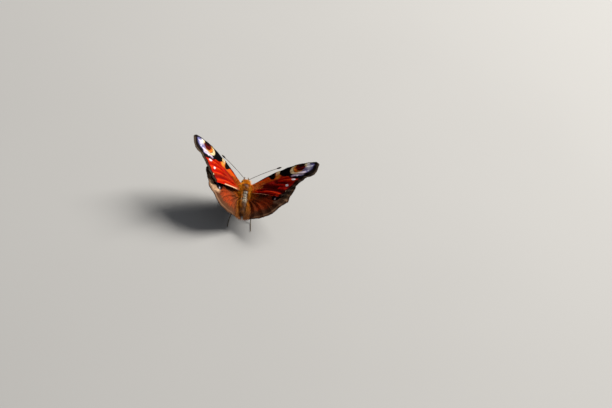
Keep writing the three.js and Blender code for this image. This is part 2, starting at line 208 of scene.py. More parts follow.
def finish_piece(
    piece: Piece, name: str, material: Material, nodes: tuple[str, ...] = (),
) -> Piece:
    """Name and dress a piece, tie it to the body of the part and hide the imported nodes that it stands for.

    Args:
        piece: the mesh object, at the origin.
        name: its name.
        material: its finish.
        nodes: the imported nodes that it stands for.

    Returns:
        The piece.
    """
    piece.name = name
    piece.data.name = name
    piece.data.materials.clear()
    piece.data.materials.append(material)
    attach(piece, "root")
    if nodes:
        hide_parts(*nodes)
    LOG.info("%s: %d faces", name, len(piece.data.polygons))
    return piece


def across_steps(values: Rows, index: Rows) -> Rows:
    """Read a smooth curve through evenly spaced rows at fractional places.

    Args:
        values: rows of numbers, one for each whole place.
        index: the places to read, from 0 to the last row.

    Returns:
        One row of numbers for each place.
    """
    last = len(values) - 1
    base = np.clip(np.floor(index).astype(int), 0, last - 1)
    f = (index - base)[:, None]
    a, b, c, d = (values[np.clip(base + k, 0, last)] for k in (-1, 0, 1, 2))
    return 0.5 * (2 * b + (c - a) * f + (2 * a - 5 * b + 4 * c - d) * f**2 + (3 * b - a - 3 * c + d) * f**3)


def unit(rows: Rows) -> Rows:
    """Each row scaled to length one."""
    return rows / np.maximum(np.linalg.norm(rows, axis=1, keepdims=True), 1e-9)


def oval(p: Rows, centre: Point, radii: Point, turn: float = 0.0) -> Rows:
    """Distance of points from the rim of an oval, less than zero inside.

    Args:
        p: rows of x, y.
        centre: middle of the oval.
        radii: half its length and half its width.
        turn: degrees that its length is turned from X towards Y.

    Returns:
        One distance for each point.
    """
    q = p - np.array(centre)
    c, s = math.cos(math.radians(turn)), math.sin(math.radians(turn))
    q = np.stack([(q[:, 0] * c + q[:, 1] * s) / radii[0], (q[:, 1] * c - q[:, 0] * s) / radii[1]], 1)
    return (np.linalg.norm(q, axis=1) - 1) * min(radii)


def stroke(p: Rows, start: Point, end: Point, start_radius: float, end_radius: float) -> Rows:
    """Distance of points from a tapered stroke, less than zero inside.

    Args:
        p: rows of x, y.
        start: first end of the stroke's middle line.
        end: last end of the stroke's middle line.
        start_radius: half width at the first end.
        end_radius: half width at the last end.

    Returns:
        One distance for each point.
    """
    a, d = np.array(start), np.array(end) - np.array(start)
    t = np.clip((p - a) @ d / (d @ d), 0, 1)
    return np.linalg.norm(p - a - t[:, None] * d, axis=1) - (start_radius + (end_radius - start_radius) * t)


def line_distance(p: Rows, line: Rows) -> Rows:
    """Distance of points from a line of straight stretches.

    Args:
        p: rows of x, y.
        line: the line's points in order.

    Returns:
        One distance for each point.
    """
    best = np.full(len(p), np.inf)
    for a, b in zip(line[:-1], line[1:]):
        d = b - a
        t = np.clip((p - a) @ d / max(d @ d, 1e-12), 0, 1)
        best = np.minimum(best, np.linalg.norm(p - a - t[:, None] * d, axis=1))
    return best


def shape(p: Rows, corners: tuple[Point, ...], soften: float = 0.25) -> Rows:
    """Distance of points from a closed outline with rounded corners, less than zero inside.

    Args:
        p: rows of x, y.
        corners: the corners of the outline in order.
        soften: how far the corners are rounded.

    Returns:
        One distance for each point.
    """
    ring = np.array(corners + corners[:1])
    inside = np.zeros(len(p), bool)
    for a, b in zip(ring[:-1], ring[1:]):
        crosses = (a[1] > p[:, 1]) != (b[1] > p[:, 1])
        x = a[0] + (p[:, 1] - a[1]) * (b[0] - a[0]) / (b[1] - a[1] if b[1] != a[1] else 1e-9)
        inside ^= crosses & (p[:, 0] < x)
    return np.where(inside, -1, 1) * line_distance(p, ring) - soften


@dataclass
class Sketch:
    """A material's node tree, drawn one node at a time."""

    name: str

    def __post_init__(self) -> None:
        """Start an empty material."""
        self.material = bpy.data.materials.new(self.name)
        self.material.use_nodes = True
        self.tree = self.material.node_tree
        self.tree.nodes.clear()

    def node(
        self, kind: str, feeds: dict[str | int, object] | None = None, **settings: object,
    ) -> bpy.types.Node:
        """Add a node.

        Args:
            kind: the node's type.
            feeds: what goes into its sockets, as other sockets or plain values.
            settings: its properties.

        Returns:
            The node.
        """
        made = self.tree.nodes.new(kind)
        for key, value in settings.items():
            setattr(made, key, value)
        for key, value in (feeds or {}).items():
            self.feed(made.inputs[key], value)
        return made

    def feed(self, socket: Socket, value: object) -> None:
        """Link a socket to another one, or set it to a plain value.

        Args:
            socket: the socket to feed.
            value: another socket, or a number or colour.
        """
        if isinstance(value, Socket):
            self.tree.links.new(value, socket)
        elif isinstance(value, tuple) and len(value) == 3 and socket.type == "RGBA":
            socket.default_value = (*value, 1.0)
        else:
            socket.default_value = value

    def value(self, name: str) -> Socket:
        """A number stored on the vertices."""
        return self.node("ShaderNodeAttribute", attribute_name=name).outputs["Fac"]

    def colour(self, name: str) -> Socket:
        """A colour stored on the vertices."""
        return self.node("ShaderNodeAttribute", attribute_name=name).outputs["Color"]

    def place(self) -> Socket:
        """The place on the piece, in metres."""
        return self.node("ShaderNodeTexCoord").outputs["Object"]

    def noise(self, size: float, detail: float = 2.0) -> Socket:
        """Soft random values.

        Args:
            size: size of the pattern in millimetres.
            detail: how many finer layers it holds.

        Returns:
            The values, from 0 to 1.
        """
        feeds = {"Vector": self.place(), "Scale": 1 / (size * MM), "Detail": detail}
        return self.node("ShaderNodeTexNoise", feeds).outputs["Fac"]

    def streaks(self, across: float, along: float) -> Socket:
        """Soft random streaks that run along the veins of a wing.

        Args:
            across: how many streaks fit between two veins.
            along: length of a streak in millimetres.

        Returns:
            The values, from 0 to 1.
        """
        fan = self.sum("MULTIPLY", self.value("fan"), across)
        reach = self.sum("DIVIDE", self.value("reach"), along)
        place = self.node("ShaderNodeCombineXYZ", {"X": fan, "Y": reach}).outputs["Vector"]
        return self.node("ShaderNodeTexNoise", {"Vector": place, "Scale": 1.0, "Detail": 3.0}).outputs["Fac"]

    def cells(self, size: float, output: str = "Distance") -> Socket:
        """A pattern of cells, of a size in millimetres."""
        feeds = {"Vector": self.place(), "Scale": 1 / (size * MM)}
        return self.node("ShaderNodeTexVoronoi", feeds).outputs[output]

    def sum(self, operation: str, a: object, b: object = 0.0, c: object = 0.0) -> Socket:
        """Work with numbers.

        Args:
            operation: the name of the sum, such as MULTIPLY.
            a: first number or socket.
            b: second number or socket.
            c: third number or socket.

        Returns:
            The result.
        """
        return self.node("ShaderNodeMath", {0: a, 1: b, 2: c}, operation=operation).outputs[0]

    def between(
        self, value: object, low: float, high: float, out_low: float = 0.0, out_high: float = 1.0,
    ) -> Socket:
        """Turn a range of values smoothly into another range.

        Args:
            value: the number or socket to turn.
            low: where the range starts.
            high: where the range ends.
            out_low: the result at low and beyond.
            out_high: the result at high and beyond.

        Returns:
            The result.
        """
        feeds = {"Value": value, "From Min": low, "From Max": high, "To Min": out_low, "To Max": out_high}
        return self.node("ShaderNodeMapRange", feeds, interpolation_type="SMOOTHSTEP").outputs["Result"]

    def mix(self, share: object, a: object, b: object, blend: str = "MIX") -> Socket:
        """Mix two colours.

        Args:
            share: how much of the second colour shows.
            a: first colour or socket.
            b: second colour or socket.
            blend: how the second colour is laid on.

        Returns:
            The mixed colour.
        """
        # The node holds a set of sockets for each kind of value: 6, 7 and output 2 are those for colours.
        feeds = {0: share, 6: a, 7: b}
        return self.node("ShaderNodeMix", feeds, data_type="RGBA", blend_type=blend).outputs[2]

    def bump(self, height: object, depth: float, under: object = None) -> Socket:
        """Tilt the surface by a height.

        Args:
            height: the height, from 0 to 1.
            depth: depth of that range in millimetres.
            under: an earlier bump that this one adds to.

        Returns:
            The tilted normal.
        """
        feeds = {"Height": height, "Distance": depth * MM}
        if under is not None:
            feeds["Normal"] = under
        return self.node("ShaderNodeBump", feeds).outputs["Normal"]

    def surface(self, colour: object, roughness: float, normal: object = None, **fixed: float) -> Material:
        """End the material in one shader.

        Args:
            colour: base colour or socket.
            roughness: roughness.
            normal: tilted normal.
            fixed: values set on the shader's own sockets, by name with _ for a space.

        Returns:
            The material.
        """
        feeds = {key.replace("_", " "): value for key, value in fixed.items()}
        feeds.update({"Base Color": colour, "Roughness": roughness})
        if normal is not None:
            feeds["Normal"] = normal
        shader = self.node("ShaderNodeBsdfPrincipled", feeds)
        self.node("ShaderNodeOutputMaterial", {"Surface": shader.outputs[0]})
        return self.material


@dataclass(frozen=True)
class Patch:
    """One marking of a wing.

    Args:
        name: plain name of the marking.
        colour: its colour.
        distance: distance of each vertex from its rim in millimetres, less than zero inside.
        soft: width over which its rim fades, in millimetres.
        strength: share of the marking that shows.
        streaky: whether it shows only in streaks along the veins.
    """

    name: str
    colour: Colour
    distance: Rows
    soft: float = 0.25
    strength: float = 1.0
    streaky: bool = False


@dataclass(frozen=True)
class ScaleFinish:
    """The dusty scales of a wing: markings above, dark ripples below.

    Args:
        crest: painted highlight, the colour of the upper face along the raised veins.
        ground: colour of the slopes beside them.
        valley: painted shade, the colour of the hollows between the veins and of the folds.
        under: colours of the lower face: its ground, its ripples and its outer part.
        ragged: how far the scales fray the rim of a marking, in millimetres.
        scale: size of one scale in millimetres.
        grain: size of the fraying in millimetres.
        mottle: size of the cloudy patches in millimetres.
        ripple: distance between two ripples of the lower face in millimetres.
        outer: where the lower face's outer part begins, as a share of the way to the edge.
    """

    crest: Colour
    ground: Colour
    valley: Colour
    under: tuple[Colour, Colour, Colour] = (
        (0.008, 0.006, 0.006), (0.030, 0.021, 0.016), (0.050, 0.036, 0.028),
    )
    ragged: float = 0.14
    scale: float = 0.11
    grain: float = 0.22
    mottle: float = 1.6
    ripple: float = 0.52
    outer: float = 0.635

    def material(self, name: str, patches: list[Patch]) -> Material:
        """Build the material.

        Args:
            name: its name.
            patches: the markings of the upper face, lowest first.

        Returns:
            The material, which reads each marking's distance from the vertices.
        """
        sketch = Sketch(name)
        grain = sketch.noise(self.grain, 3.0)
        fray = sketch.sum("MULTIPLY_ADD", grain, 2 * self.ragged, -self.ragged)
        scales = sketch.cells(self.scale)
        mottle = sketch.sum("SUBTRACT", sketch.noise(self.mottle, 3.0), 0.5)
        # Painted light and shade of the relief: bright along the raised veins, darker down the slopes,
        # darkest in the hollows and folds, shifted at random by the mottle.
        depth = sketch.sum("MULTIPLY_ADD", mottle, 0.6, sketch.value("hollow"))
        colour = sketch.mix(sketch.between(depth, 0.02, 0.5), self.crest, self.ground)
        colour = sketch.mix(sketch.between(depth, 0.45, 1.0, 0.0, 0.9), colour, self.valley)
        streaks = sketch.between(sketch.streaks(8.0, 2.6), 0.40, 0.66)
        for patch in patches:
            rim = sketch.sum("ADD", sketch.value("mark_" + patch.name), fray)
            share = sketch.between(rim, patch.soft / 2, -patch.soft / 2, 0.0, patch.strength)
            if patch.streaky:
                share = sketch.sum("MULTIPLY", share, streaks)
            colour = sketch.mix(share, colour, patch.colour)
        dust = sketch.between(sketch.cells(self.scale, "Color"), 0.0, 1.0, 0.82, 1.12)
        colour = sketch.mix(1.0, colour, dust, "MULTIPLY")
        colour = sketch.mix(sketch.value("underside"), colour, self.ripples(sketch))
        normal = sketch.bump(scales, 0.02, sketch.bump(grain, 0.05))
        return sketch.surface(colour, 0.8, normal, Specular_IOR_Level=0.03)

    def ripples(self, sketch: Sketch) -> Socket:
        """Draw the lower face: fine wavy lines, with a paler outer part.

        Args:
            sketch: the material's node tree.

        Returns:
            Its colour.
        """
        warp = sketch.noise(3.0, 4.0)
        along = sketch.sum("MULTIPLY_ADD", warp, 2.4, sketch.value("reach"))
        line = sketch.sum("SINE", sketch.sum("MULTIPLY", along, 2 * math.pi / self.ripple))
        fleck = sketch.between(sketch.noise(0.4, 3.0), 0.35, 0.65)
        share = sketch.sum("MULTIPLY", sketch.between(line, 0.0, 1.0, 0.0, 0.7), fleck)
        colour = sketch.mix(share, self.under[0], self.under[1])
        place = sketch.sum("MULTIPLY_ADD", warp, 0.16, sketch.value("share"))
        pale = sketch.between(place, self.outer - 0.005, self.outer + 0.025, 0.0, 0.5)
        colour = sketch.mix(pale, colour, self.under[2])
        dark = sketch.sum("ABSOLUTE", sketch.sum("SUBTRACT", place, self.outer))
        colour = sketch.mix(sketch.between(dark, 0.016, 0.004, 0.0, 0.9), colour, self.under[0])
        hem = sketch.sum("ADD", sketch.value("mark_hem"), sketch.sum("MULTIPLY", warp, 0.2))
        return sketch.mix(sketch.between(hem, 0.2, 0.0, 0.0, 0.5), colour, self.under[2])


@dataclass(frozen=True)
class FurFinish:
    """Hair that takes its colour from the vertices."""

    roughness: float = 0.6
    sheen: float = 0.04

    def material(self, name: str) -> Material:
        """Build the material.

        Args:
            name: its name.

        Returns:
            The material.
        """
        sketch = Sketch(name)
        streak = sketch.between(sketch.noise(0.18), 0.25, 0.75, 0.75, 1.2)
        colour = sketch.mix(1.0, sketch.colour("coat"), streak, "MULTIPLY")
        return sketch.surface(colour, self.roughness, Sheen_Weight=self.sheen, Specular_IOR_Level=0.15)


@dataclass(frozen=True)
class SkinFinish:
    """Dark skin under the coat, with the coat's markings."""

    shade: float = 0.45

    def material(self, name: str) -> Material:
        """Build the material.

        Args:
            name: its name.

        Returns:
            The material.
        """
        sketch = Sketch(name)
        grain = sketch.noise(0.12)
        shade = sketch.between(grain, 0.2, 0.8, 0.6 * self.shade, 1.3 * self.shade)
        colour = sketch.mix(1.0, sketch.colour("coat"), shade, "MULTIPLY")
        normal = sketch.bump(grain, 0.05)
        return sketch.surface(colour, 0.6, normal, Specular_IOR_Level=0.4)


@dataclass(frozen=True)
class ShellFinish:
    """Hard shell of a leg, feeler or tongue, with scales, rings and pale flecks.

    Args:
        dark: main colour.
        pale: colour of the flecks.
        flecks: share of the surface that is pale.
        roughness: roughness.
        grain: size of the flecks in millimetres.
    """

    dark: Colour
    pale: Colour
    flecks: float = 0.3
    roughness: float = 0.45
    grain: float = 0.16

    def material(self, name: str) -> Material:
        """Build the material.

        Args:
            name: its name.

        Returns:
            The material.
        """
        sketch = Sketch(name)
        dust = sketch.noise(self.grain, 3.0)
        share = sketch.between(dust, 0.72 - self.flecks, 0.8 - 0.5 * self.flecks)
        colour = sketch.mix(sketch.sum("MULTIPLY", share, sketch.value("pale")), self.dark, self.pale)
        normal = sketch.bump(sketch.cells(0.09), 0.012, sketch.bump(dust, 0.03))
        return sketch.surface(colour, self.roughness, normal, Specular_IOR_Level=0.45)


@dataclass(frozen=True)
class EyeFinish:
    """Compound eye: dark, glossy, with tiny facets."""

    dark: Colour = (0.010, 0.005, 0.004)
    warm: Colour = (0.045, 0.017, 0.010)
    facet: float = 0.045

    def material(self, name: str) -> Material:
        """Build the material.

        Args:
            name: its name.

        Returns:
            The material.
        """
        sketch = Sketch(name)
        cloud = sketch.between(sketch.noise(0.7, 1.0), 0.35, 0.65)
        normal = sketch.bump(sketch.cells(self.facet), 0.006)
        colour = sketch.mix(cloud, self.dark, self.warm)
        return sketch.surface(colour, 0.3, normal, Specular_IOR_Level=0.4)


@dataclass(frozen=True)
class FloorFinish:
    """Plain pale floor."""

    tone: Colour = (0.46, 0.455, 0.445)

    def material(self, name: str) -> Material:
        """Build the material.

        Args:
            name: its name.

        Returns:
            The material.
        """
        sketch = Sketch(name)
        cloud = sketch.between(sketch.noise(120.0), 0.3, 0.7)
        return sketch.surface(sketch.mix(cloud, self.tone, tuple(0.98 * c for c in self.tone)), 0.85)


@dataclass(frozen=True)
class Vein:
    """One vein of a wing's fan; points are (outward, rearward) from the hinge.

    Args:
        cell: where the vein passes the end of the closed cell.
        edge: where it meets the edge of the wing.
        stem: whether it is raised all the way from the root.
        scallop: depth of the edge's hollow between this vein and the next.
    """

    cell: Point
    edge: Point
    stem: bool = False
    scallop: float = 0.0


@dataclass(frozen=True)
class Crown:
    """Swell of a wing's middle surface over its plane: height, place and width across, reach along."""

    height: float
    at: float
    width: float
    reach: float


@dataclass(frozen=True)
class WingPlan:
    """The fan of veins that shapes a wing.

    Args:
        hinge: where the wing leaves the body on the right side.
        raised: degrees between the wing and the level.
        root: front and rear end of the root, as (outward, rearward).
        crown: swell of the middle surface.
        closed: first and last vein round the end of the closed cell.
        veins: the veins from the leading edge to the inner edge.
        cell_end: share of each vein where the closed cell ends.
    """

    hinge: Spot
    raised: float
    root: tuple[Point, Point]
    crown: Crown
    closed: Point
    veins: tuple[Vein, ...]
    cell_end: float = 0.42

    @property
    def last(self) -> int:
        """Number of the vein at the inner edge."""
        return len(self.veins) - 1

    @property
    def tip(self) -> int:
        """Number of the vein where the leading edge ends and the outer edge begins."""
        return next(i for i, vein in enumerate(self.veins) if vein.scallop)

    def point(self, s: Rows, t: Rows) -> Rows:
        """Points of the plan.

        Args:
            s: place across the fan, in veins from the leading edge.
            t: share of the way from the root to the edge.

        Returns:
            Rows of (outward, rearward).
        """
        root = across_steps(np.linspace(*self.root, len(self.veins)), s)
        cell = across_steps(np.array([v.cell for v in self.veins]), s)
        edge = across_steps(np.array([v.edge for v in self.veins]), s)
        scallop = np.array([v.scallop for v in self.veins])[np.minimum(s.astype(int), self.last)]
        t = t * (1 - scallop * np.sin(math.pi * (s % 1)) ** 0.8 / np.linalg.norm(edge, axis=1))
        c, t = self.cell_end, t[:, None]
        bend = (cell - (1 - c) ** 2 * root - c**2 * edge) / (2 * c * (1 - c))
        return (1 - t) ** 2 * root + 2 * t * (1 - t) * bend + t**2 * edge

    def crown_height(self, uv: Rows) -> Rows:
        """Height of the middle surface over the wing's plane at rows of (outward, rearward)."""
        crown = self.crown
        along = np.sin(math.pi * np.clip(uv[:, 0] / crown.reach, 0, 1))
        return crown.height * along * np.exp(-(((uv[:, 1] - crown.at) / crown.width) ** 2))

    def into_body(self, uv: Rows, height: Rows, side: Side) -> Rows:
        """Turn points of the plan into points of the body.

        Args:
            uv: rows of (outward, rearward).
            height: height of each point over the wing's plane.
            side: the side of the animal.

        Returns:
            Rows of x, y, z from the middle of the thorax.
        """
        c, s = math.cos(math.radians(self.raised)), math.sin(math.radians(self.raised))
        x = uv[:, 0] * c - height * s + self.hinge[0]
        z = uv[:, 0] * s + height * c + self.hinge[2]
        return np.stack([side.value * x, self.hinge[1] - uv[:, 1], z], 1)

    def swept(self, degrees: float) -> "WingPlan":
        """The wing swept back in its own plane; its root stays where it is.

        Args:
            degrees: how far it is swept back.

        Returns:
            The plan of the swept wing.
        """
        c, s = math.cos(math.radians(degrees)), math.sin(math.radians(degrees))

        def turned(at: Point) -> Point:
            """Turn one point of the plan."""
            return at[0] * c - at[1] * s, at[1] * c + at[0] * s

        veins = (replace(v, cell=turned(v.cell), edge=turned(v.edge)) for v in self.veins)
        return replace(self, veins=tuple(veins))

    def lift(self, side: Side) -> Rows:
        """Direction that points away from the upper face."""
        a = math.radians(self.raised)
        return np.array([-side.value * math.sin(a), 0.0, math.cos(a)])


FOREWING = WingPlan(
    hinge=(3.0, 2.5, 1.6),
    raised=43.4,
    root=((-1.8, -0.7), (-1.8, 3.2)),
    crown=Crown(0.6, 2.0, 6.0, 31.0),
    closed=(6, 10),
    veins=(
        Vein((5.5, -2.2), (12.5, -3.0), stem=True),
        Vein((7.2, -1.9), (16.5, -3.1), stem=True),
        Vein((8.8, -1.6), (20.2, -3.0), stem=True),
        Vein((10.4, -1.3), (23.4, -2.3)),
        Vein((11.8, -1.0), (26.4, -1.5)),
        Vein((12.9, -0.6), (29.7, -0.2)),
        Vein((13.7, 0.1), (31.3, 2.5), scallop=0.25),
        Vein((13.9, 1.0), (29.5, 7.1), scallop=0.55),
        Vein((13.5, 2.1), (25.8, 7.3), scallop=0.5),
        Vein((12.5, 3.3), (23.0, 8.7), scallop=0.5),
        Vein((10.6, 4.3), (20.6, 10.4), scallop=0.5),
        Vein((8.4, 5.1), (18.2, 12.0), stem=True, scallop=0.3),
        Vein((6.6, 6.3), (15.5, 13.1), stem=True),
        Vein((5.6, 7.5), (13.7, 12.8)),
    ),
)

HINDWING = WingPlan(
    hinge=(2.8, -1.5, 0.1),
    raised=42.0,
    root=((-1.7, -1.5), (-1.9, 2.4)),
    crown=Crown(-0.5, 16.0, 7.0, 24.0),
    closed=(2, 6),
    veins=(
        Vein((4.8, -1.7), (13.0, -1.7), stem=True),
        Vein((7.4, -1.2), (18.0, 0.8), stem=True, scallop=0.1),
        Vein((9.2, 0.4), (20.9, 4.9), stem=True, scallop=0.4),
        Vein((9.4, 2.0), (20.0, 8.0), scallop=0.4),
        Vein((9.0, 3.5), (18.4, 10.2), scallop=0.4),
        Vein((8.1, 4.8), (17.5, 12.9), scallop=0.6),
        Vein((6.8, 5.7), (14.0, 13.7), scallop=0.4),
        Vein((5.1, 6.3), (10.6, 15.8), stem=True, scallop=0.4),
        Vein((3.1, 6.5), (6.6, 16.3), stem=True, scallop=0.35),
        Vein((1.1, 6.2), (2.3, 15.4), stem=True, scallop=0.3),
        Vein((-1.3, 5.9), (-1.7, 14.0)),
    ),
)


class Paint:
    """Colours of the scales and the hair."""

    BLACK: Colour = (0.004, 0.003, 0.004)
    INK: Colour = (0.010, 0.006, 0.005)
    CREAM: Colour = (0.86, 0.70, 0.40)
    BUFF: Colour = (0.80, 0.50, 0.30)
    GOLD: Colour = (0.85, 0.38, 0.05)
    ORANGE: Colour = (0.90, 0.135, 0.007)
    MAROON: Colour = (0.10, 0.004, 0.003)
    LILAC: Colour = (0.72, 0.57, 0.72)
    VIOLET: Colour = (0.20, 0.19, 0.45)
    WHITE: Colour = (0.86, 0.84, 0.90)
    HEM: Colour = (0.026, 0.017, 0.012)
    HEM_PALE: Colour = (0.10, 0.066, 0.043)
    TAN: Colour = (0.64, 0.40, 0.24)
    RUST: Colour = (0.46, 0.052, 0.009)
    BROWN: Colour = (0.20, 0.060, 0.018)
    UMBER: Colour = (0.10, 0.042, 0.02)
    BLUE: Colour = (0.12, 0.17, 0.46)
    SOOT: Colour = (0.052, 0.019, 0.010)
    AMBER: Colour = (0.80, 0.21, 0.014)
    CHESTNUT: Colour = (0.42, 0.095, 0.014)
    FOX: Colour = (0.90, 0.28, 0.012)
    DUSK: Colour = (0.045, 0.026, 0.017)


@dataclass(frozen=True)
class Ground:
    """Where the vertices of a wing lie on its plan.

    Args:
        p: rows of (outward, forward) from the hinge.
        from_edge: distance of each row from the outer edge.
        from_front: distance of each row from the leading edge.
        from_rear: distance of each row from the inner edge.
    """

    p: Rows
    from_edge: Rows
    from_front: Rows
    from_rear: Rows

    @staticmethod
    def only(chosen: Rows, distance: Rows) -> Rows:
        """A distance at the chosen vertices, and far outside at the others."""
        return np.where(chosen, distance, FAR)


@dataclass(frozen=True)
class ForewingMarks:
    """Markings of the forewing's upper face; points are (outward, forward) from the hinge."""

    first_bar: tuple[Point, ...] = ((6.4, 2.7), (10.4, 3.4), (10.5, 0.6), (9.6, -0.2), (8.7, 0.3), (7.8, 1.5))
    cream_bar: tuple[Point, ...] = ((11.1, 3.4), (12.9, 3.4), (12.8, 1.3), (11.3, 1.1))
    second_bar: tuple[Point, ...] = (
        (13.0, 3.5), (18.3, 3.5), (18.3, -3.2), (17.3, -2.5), (14.6, -1.0), (13.1, 0.7),
    )
    tip_field: tuple[Point, ...] = (
        (17.8, 3.6), (29.0, 1.6), (32.4, -1.0), (29.9, -7.4),
        (25.2, -7.2), (22.6, -5.9), (20.2, -4.6), (18.0, -3.2),
    )
    eye_middle: Point = (22.3, 0.2)
    eye_radii: Point = (4.3, 3.3)
    cloud: tuple[Point, Point, Point] = ((19.8, -3.0), (23.8, -3.5), (27.6, -1.4))
    beads: tuple[Point, ...] = ((21.8, -4.2), (24.1, -4.1), (26.4, -3.0), (28.2, -1.4))
    dots: tuple[Point, ...] = ((20.0, -5.6), (16.8, -7.2), (16.7, -10.8))
    border_width: float = 1.9
    hem_width: float = 0.75

    def patches(self, ground: Ground) -> list[Patch]:
        """The markings at the vertices of a wing, lowest first.

        Args:
            ground: where the vertices lie.

        Returns:
            One patch for each marking.
        """
        p, from_edge, from_front = ground.p, ground.from_edge, ground.from_front
        ex, ey = self.eye_middle
        rx, ry = self.eye_radii
        crescent = np.maximum(
            oval(p, (ex - 0.1, ey), (rx, ry)), -oval(p, (ex + 1.4, ey + 0.4), (rx + 0.1, ry + 0.1)),
        )
        gold = np.maximum(
            oval(p, (ex + 0.9, ey + 0.5), (3.7, 2.8)), -oval(p, (ex + 1.5, ey + 0.6), (3.6, 2.6)),
        )
        start, bend, end = self.cloud
        cloud = np.minimum(stroke(p, start, bend, 0.8, 1.5), stroke(p, bend, end, 1.5, 1.7))
        beads = np.min([oval(p, c, (0.5, 0.4)) for c in self.beads], axis=0)
        outer = ground.only(p[:, 1] < 2.0, from_edge)
        hem_end = np.clip(p[:, 0] - 8.6, 0, 9) + np.clip(3.8 + p[:, 1], 0, 9)
        cell = shape(p, ((2.0, -1.4), (9.4, -2.4), (11.4, -4.2), (8.6, -5.2), (3.0, -3.0)))
        rear = shape(p, ((8.0, -6.0), (10.4, -6.0), (17.2, -10.6), (15.6, -11.6)))
        return [
            # Painted shade over the hollow of the closed cell and over the rear field.
            Patch("dusk", Paint.MAROON, np.minimum(cell, rear), 2.0, 0.6),
            Patch("streaks", Paint.MAROON, np.full(len(p), -FAR), 1.0, 0.3, streaky=True),
            Patch("glow", Paint.ORANGE, stroke(p, (2.5, 0.5), (12.8, 0.2), 0.5, 1.2), 2.4, 0.85),
            Patch("root", Paint.UMBER, oval(p, (-1.0, -0.9), (2.6, 2.8)), 1.6, 0.8),
            Patch("rim", Paint.INK, ground.only(p[:, 0] < 13.0, from_front - 0.4), 0.3, 0.9),
            Patch("first_bar", Paint.BLACK, shape(p, self.first_bar), 0.3),
            Patch("cream_fade", Paint.GOLD, oval(p, (12.0, 0.9), (1.0, 1.6)), 1.8, 0.9),
            Patch("cream_bar", Paint.CREAM, shape(p, self.cream_bar), 0.6),
            Patch("second_bar", Paint.BLACK, shape(p, self.second_bar), 0.3),
            Patch("tip", Paint.INK, shape(p, self.tip_field), 0.5),
            Patch("cloud", Paint.VIOLET, cloud, 0.9, 0.9),
            Patch("blush", Paint.LILAC, stroke(p, (19.4, -3.1), (24.6, -3.6), 0.6, 1.0), 0.9, 0.95),
            Patch("haze", Paint.WHITE, stroke(p, (25.4, 0.6), (27.0, -1.6), 1.1, 1.0), 1.4, 0.8),
            Patch("mist", Paint.WHITE, stroke(p, (20.2, -3.4), (25.0, -3.4), 0.2, 0.5), 1.2, 0.6),
            Patch("core", Paint.MAROON, oval(p, (ex + 0.9, ey + 0.5), (3.1, 2.3)), 0.6),
            Patch("pupil", Paint.BLACK, oval(p, (ex + 1.3, ey + 1.2), (1.9, 1.2)), 0.7, 0.9),
            Patch("crescent", Paint.CREAM, crescent, 0.3),
            Patch("gold", Paint.GOLD, gold, 0.5),
            Patch("ember", Paint.ORANGE, oval(p, (ex - 1.8, ey - 0.7), (0.6, 1.3), 20), 0.9, 0.7),
            Patch("gap", Paint.CREAM, oval(p, (25.7, 1.1), (0.9, 1.6), -10), 0.5, 0.95),
            Patch("glare", Paint.WHITE, oval(p, (26.3, 0.7), (0.6, 1.5), -10), 0.7, 0.9),
            Patch("beads", Paint.WHITE, beads, 0.3, 0.85),
            Patch("front", Paint.INK, ground.only(p[:, 0] > 18.0, from_front - 0.45), 0.3),
            Patch("border", Paint.INK, outer - self.border_width, 0.7, 0.95),
            Patch("hem", Paint.HEM, outer - 0.95, 0.25),
            Patch("hem_pale", Paint.HEM_PALE, np.abs(outer - 0.62) - 0.12, 0.2, 0.8),
            Patch("tip_hem", Paint.HEM_PALE, ground.only(p[:, 0] > 24.0, from_edge - 0.9), 0.5, 0.7),
            Patch("dot_1", Paint.WHITE, oval(p, self.dots[0], (1.0, 0.6), -35), 0.3, 0.95),
            Patch("dot_2", Paint.WHITE, oval(p, self.dots[1], (0.75, 0.5), -40), 0.2),
            Patch("dot_3", Paint.CREAM, oval(p, self.dots[2], (0.34, 0.3)), 0.2, 0.9),
            Patch("inner_hem", Paint.BUFF, ground.from_rear - self.hem_width + hem_end, 0.4, 0.9),
        ]


